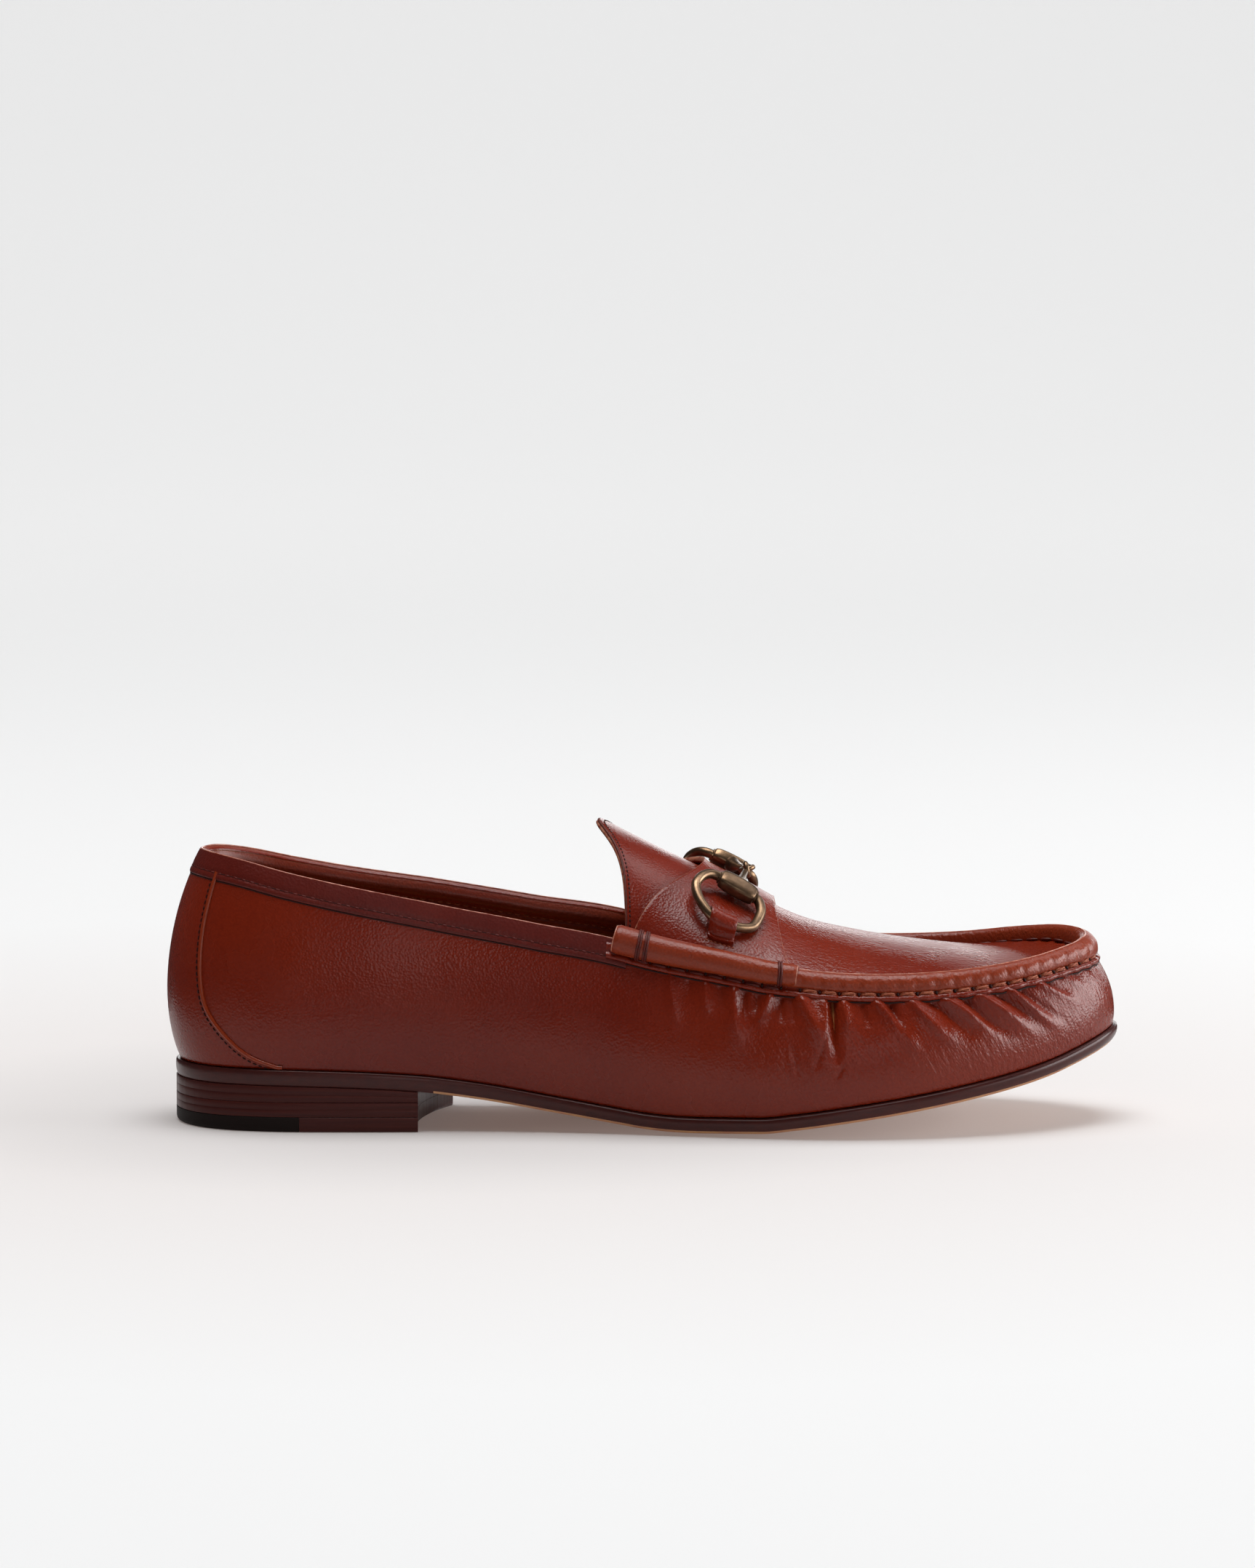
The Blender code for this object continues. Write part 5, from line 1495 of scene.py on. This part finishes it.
def build_keepers():
    """The leather tabs over the rings, each with a row of stitches at its foot."""
    for side in ("lateral", "medial"):
        sign = HALVES[side].sign
        path, _ = ring_path(side, 400)
        _, barrel, along, _, fall, _ = side_axes(side)
        low = path[np.dot(path - barrel, fall) > 0.8 * BARREL_LENGTH]
        reach = np.dot(low - barrel, along) / BARREL_LENGTH
        base = strap_top()
        clear = (WIRE_RADIUS + GAP) * SHOWN_WIRE
        outer, inner, ends = [], [], []
        for share in np.linspace(*KEEPER_SPAN, 12):
            wire = low[np.argmin(np.abs(reach - share))]
            a, turn, height = arch_under(wire)
            height -= base
            scale = np.linalg.norm(arch_point(a, turn + 0.01) - arch_point(a, turn - 0.01)) / 0.02
            # Rows of place across the wire and height over the strap, from the free end to the foot.
            route = [
                (-clear * 1.55, KEEPER_LIFT),
                (-clear * 1.05, height * 0.75),
                (-clear * 0.78, height + clear * 0.64),
                (0, height + clear),
                (clear * 0.78, height + clear * 0.64),
                (clear * 1.05, height * 0.75),
                (clear * 1.75, KEEPER_LIFT),
                (KEEPER_FOOT, KEEPER_LIFT),
            ]
            route = through(route, np.linspace(0, len(route) - 1, 48))
            ways = unit(np.gradient(route, axis=0))
            lifted = route + np.stack([-ways[:, 1], ways[:, 0]], -1) * KEEPER_THICKNESS
            for grid, line in ((outer, lifted), (inner, route)):
                turns = turn + sign * line[:, 0] / scale
                grid.append(arch_point(a, turns) + arch_normal(a, turns) * (base + line[:, 1:]))
            ends.append((a, turn + sign * (KEEPER_FOOT + 0.0009) / scale))
        outer, inner = np.swapaxes(outer, 0, 1), np.swapaxes(inner, 0, 1)
        rings = rounded_section(outer, inner, (0.5, 0.5), 3)
        bands = section_bands(outer, inner, 1, 1, 1, 3)
        node = f"keeper_{side}"
        loft(f"bit_tab_{side}", rings, ["leather", "leather"], False, (node,), bands, 60)
        a, turn = np.array(ends).T
        share = np.linspace(-0.12, 1.12, 8)
        spread = np.linspace(0, 1, 12)
        a, turn = np.polyval(np.polyfit(spread, a, 1), share), np.polyval(np.polyfit(spread, turn, 1), share)
        normal = arch_normal(a, turn)
        points = arch_point(a, turn) + normal * base
        fine_stitches(f"tab_stitches_{side}", points, normal, 0.70, "thread")


def build_bit():
    """The two rings of bent wire, each with its link."""
    for side in ("lateral", "medial"):
        path, normal = ring_path(side, 180)
        node = f"bit_ring_{side}"
        tube = ring_tube(path, normal, WIRE_RADIUS * SHOWN_WIRE, 20)
        loft(f"wire_ring_{side}", tube, ["brass"], True, (node,))
        build_link(side)


def build_link(side):
    """A barrel with its neck rings, an arm and the eye in the middle."""
    middle, barrel, along, arm, _, up = side_axes(side)
    sign = HALVES[side].sign
    turn = np.linspace(0, 2 * np.pi, 40, endpoint=False)
    square = np.stack([np.cos(turn), np.sin(turn)], -1)
    square = np.sign(square) * np.abs(square) ** BARREL_SQUARENESS
    level_side = unit(np.cross(along, up))
    rings = [
        barrel
        + along * end * BARREL_LENGTH
        + level_side * square[:, :1] * BARREL_WIDTH / 2 * wide
        + up * square[:, 1:] * BARREL_HEIGHT / 2 * wide
        for end, wide in through(BARREL_OUTLINE, np.linspace(0, len(BARREL_OUTLINE) - 1, 41))
    ]
    node = f"bit_link_{side}"
    loft(f"barrel_{side}", rings, ["brass"], False, (node,), sharp=50)

    for end in (-1, 1):
        centre = barrel + along * end * (0.5 * BARREL_LENGTH + 0.0001)
        path = centre + along * NECK_PLACES[:, None]
        neck = rings_along(path, up, NECK_RADII, 24)
        word = "front" if end > 0 else "back"
        loft(f"neck_{word}_{side}", neck, ["brass"], sharp=50)

    reach = np.linalg.norm(barrel - middle)
    shares = np.linspace(0.0, 0.90, 30)
    radii = np.interp(shares, *np.transpose(ARM_OUTLINE))
    path = barrel - arm * (shares * reach)[:, None]
    loft(f"arm_{side}", rings_along(path, up, radii * BARREL_HEIGHT / 2, 24), ["brass"])

    outside = np.array([0, sign, 0])
    slope = HALVES["lateral"].slope - sign * math.radians(45)
    plane = np.array([math.cos(slope), 0, -math.sin(slope)])
    centre = middle + outside * EYE_RADIUS / 2
    turn = np.linspace(0, 2 * np.pi, 48, endpoint=False)[:, None]
    eye = centre + EYE_RADIUS * (np.cos(turn) * outside + np.sin(turn) * plane)
    loft(f"eye_{side}", ring_tube(eye, np.cross(outside, plane), EYE_WIRE * 1.15, 16), ["brass"], True)


def raised(plan, height):
    """A plan grid at a height, which is one number or a value for each of its points."""
    return np.concatenate([plan, np.broadcast_to(height, plan.shape[:2])[..., None]], -1)


def over_sole(plan, share, lift=0.0):
    """A plan grid in the sole's thickness, by its share, and a lift over that."""
    return raised(plan, sole_bottom(plan[..., 0], plan[..., 1]) + share * SOLE_THICKNESS + lift)


def plate(name, layers, looks, node, bands):
    """A solid of stacked grids from the top down; only the first and last are filled.
    bands gives the look of the top, of each step of the rim, and of the bottom."""
    stations, across = layers[0].shape[:2]
    side = [(i, 0) for i in range(stations)] + [(stations - 1, j) for j in range(1, across)]
    side += [(i, across - 1) for i in range(stations - 2, -1, -1)]
    side += [(0, j) for j in range(across - 2, 0, -1)]
    rows, columns = np.array(side).T

    i, j = np.meshgrid(np.arange(stations - 1), np.arange(across - 1), indexing="ij")
    corner = (i * across + j).reshape(-1)
    sheet = np.stack([corner, corner + 1, corner + across + 1, corner + across], -1)
    count, size = stations * across, len(rows)
    points = [layers[0].reshape(-1, 3), layers[-1].reshape(-1, 3)]
    rims = [layer[rows, columns] for layer in layers]
    faces = [sheet, sheet + count]
    index = [np.full(len(sheet), bands[0]), np.full(len(sheet), bands[-1])]
    for step in range(len(rims) - 1):
        a = 2 * count + step * size + np.arange(size)
        b = 2 * count + step * size + (np.arange(size) + 1) % size
        faces.append(np.stack([a, b, b + size, a + size], -1))
        index.append(np.full(size, bands[step + 1]))
    piece = add_piece(name, np.concatenate(points + rims), np.concatenate(faces), looks, (node,),
                      np.concatenate(index))
    weld(piece)
    return piece


def weld(piece):
    """Join the sheets and the rim of a plate."""
    shell = bmesh.new()
    shell.from_mesh(piece.data)
    bmesh.ops.remove_doubles(shell, verts=shell.verts, dist=1e-6)
    bmesh.ops.recalc_face_normals(shell, faces=shell.faces)
    shell.to_mesh(piece.data)
    shell.free()
    piece.data.set_sharp_from_angle(angle=math.radians(40))


def build_outsole():
    """The sole with its round edge. Its underside shows the bare leather from the breast on."""
    last, count = LAST_SECTION, (300, 15)
    square = sole_plan(last, last, 0.0001, *count)
    full = smoothstep(*ROUND_SPAN, square[..., :1] / SHOE_LENGTH)
    tight = SQUARE_SHARE + (1 - SQUARE_SHARE) * full
    layers = [
        over_sole(square + (sole_plan(last, last, inset, *count) - square) * tight, share)
        for inset, share in SOLE_RIM
    ]
    bands = [0] * 9 + [1, 1, 1]
    piece = plate("leather_sole", layers, ["sole_edge", "sole_tan"], "outsole", bands)
    for face in piece.data.polygons:
        if face.center.x - OFFSET[0] < TAN_FROM * SHOE_LENGTH and face.normal.z > -0.9:
            face.material_index = 0


def build_sock():
    """The sock on the insole, with a soft top edge."""
    inset = FEATHER_MARGIN + UPPER_WALL + 0.0012
    small, wide = [sole_plan(LAST_SECTION, LAST_SECTION, inset + more, 220, 21) for more in (0.0006, 0)]
    top = INSOLE_LIFT + INSOLE_THICKNESS
    layers = [over_sole(small, 1, top), over_sole(wide, 1, top - 0.0004), over_sole(wide, 1, INSOLE_LIFT)]
    plate("sock_lining", layers, ["sock"], "insole", [0] * 4)


def build_heel():
    """Two lifts with a groove line in each, and the top piece."""

    def plan(inset):
        return heel_plan(HEEL_INSET + inset, BREAST_LATERAL, BREAST_MEDIAL, BREAST_HOLLOW, 90, 31)

    soft = HEEL_SOFTENING
    second_low = TOP_PIECE_THICKNESS + LIFT_GAP
    second_high = second_low + HEEL_LIFT_THICKNESS
    steps = [(soft, 0), (0, 0.05), (0, 0.46), (soft / 2, 0.49), (0, 0.52), (0, 0.95), (soft, 1)]
    grids = [plan(inset) for inset, _ in steps]
    tops = [sole_bottom(grid[..., 0], grid[..., 1]) - LIFT_GAP for grid in grids]
    for name, node, highs, low in (
        ("first_lift", "heel_lift_1", tops, second_high + LIFT_GAP),
        ("second_lift", "heel_lift_2", [second_high] * len(steps), second_low),
    ):
        layers = [
            raised(grid, high * (1 - share) + low * share)
            for grid, high, (_, share) in zip(grids, highs, steps)
        ]
        plate(name, layers, ["heel"], node, [0] * 8)

    turn = HEEL_EDGE_ROUND
    steps = [(soft, TOP_PIECE_THICKNESS), (0, TOP_PIECE_THICKNESS - soft), (0, turn)]
    steps += [(turn * (1 - math.cos(q)), turn * (1 - math.sin(q))) for q in np.radians([25, 50, 70, 90])]
    for name, node, look, rear in (
        ("rubber_tip", "rubber_heel_tip", "rubber", True),
        ("top_piece", "leather_top_piece", "heel", False),
    ):
        layers = [raised(cut_plan(plan(inset), rear), height) for inset, height in steps]
        plate(name, layers, [look], node, [0] * 8)


def build_floor():
    """A pale floor that curves up behind. Only its part beside the shoe is seen in reflections. Its glow is
    painted light: weaker and redder near the shoe, a painted shadow and red bounce.
    """
    look = Look("paper", 0.9, specular=0.0)
    far = look.node("VectorMath", {0: look.place, 1: SHADOW_MIDDLE}, "Value", operation="DISTANCE")
    # Painted glow: weaker and redder near the shoe, standing for its shadow and red bounce.
    tints = [(place, (*[power * part for part in tint], 1)) for place, power, tint in FLOOR_GLOW]
    glow = look.ramp(look.spread(far, 0, GLOW_REACH, 0, 1), *tints)
    tone = (FLOOR_TONE, FLOOR_TONE, FLOOR_TONE, 1)
    look.feed(look.shader, {"Base Color": tone, "Emission Color": glow, "Emission Strength": 1.0})
    curve = [
        (CURVE_START + CURVE_RADIUS * math.sin(q), CURVE_RADIUS * (1 - math.cos(q)))
        for q in np.radians(np.arange(0, 91, 10))
    ]
    back = [(MIRROR_BACK, 0.0), *curve, (CURVE_START + CURVE_RADIUS, FLOOR_HALF)]
    near = [(MIRROR_FRONT, 0.0), (MIRROR_BACK, 0.0)]
    front = [(FLOOR_FRONT, 0.0), (MIRROR_FRONT, 0.0)]
    left, right = MIRROR_ENDS
    for name, line, ends in (
        ("backdrop", back, (-FLOOR_HALF, FLOOR_HALF)),
        ("floor_front", front, (-FLOOR_HALF, FLOOR_HALF)),
        ("floor_left", near, (-FLOOR_HALF, left)),
        ("floor_right", near, (right, FLOOR_HALF)),
        ("floor_near", near, MIRROR_ENDS),
    ):
        mesh = bpy.data.meshes.new(name)
        faces = [(2 * i, 2 * i + 1, 2 * i + 3, 2 * i + 2) for i in range(len(line) - 1)]
        mesh.from_pydata([(x, y, z) for y, z in line for x in ends], [], faces)
        mesh.materials.append(look.made)
        mesh.shade_smooth()
        sheet = linked(name, mesh)
        sheet.visible_glossy = name == "floor_near"


def build_light():
    """The sky's even light and the lamps."""
    world = bpy.data.worlds.new("studio")
    world.use_nodes = True
    sky = world.node_tree.nodes["Background"].inputs
    sky["Color"].default_value = (0.93, 0.95, 1.0, 1)
    sky["Strength"].default_value = WORLD_LIGHT
    bpy.context.scene.world = world
    bpy.context.scene.view_settings.view_transform = "Standard"
    for name, place, target, width, height, power, lights in LAMPS:
        lamp = bpy.data.lights.new(name, "AREA")
        lamp.shape, lamp.size, lamp.size_y, lamp.energy = "RECTANGLE", width, height, power
        holder = linked(name, lamp)
        holder.location = place
        holder.visible_camera = False
        holder.visible_diffuse, holder.visible_glossy = lights
        holder.rotation_euler = (Vector(target) - Vector(place)).to_track_quat("-Z", "Y").to_euler()


def build_camera():
    """The photo's view."""
    camera = bpy.data.cameras.new("camera")
    camera.lens, camera.sensor_width, camera.sensor_fit = CAMERA_LENS, 36, "AUTO"
    camera.clip_end = 50
    holder = linked("camera", camera)
    holder.location = Vector(CAMERA_PLACE) + Vector(OFFSET)
    holder.rotation_euler = (math.radians(90 - CAMERA_TILT), 0, 0)
    bpy.context.scene.camera = holder


def main():
    build_wall()
    build_binding()
    build_lip()
    build_apron()
    build_seam_roll()
    build_stitches()
    build_counter()
    build_strap()
    build_bars()
    build_keepers()
    build_bit()
    build_outsole()
    build_sock()
    build_heel()
    build_floor()
    build_light()
    build_camera()


main()
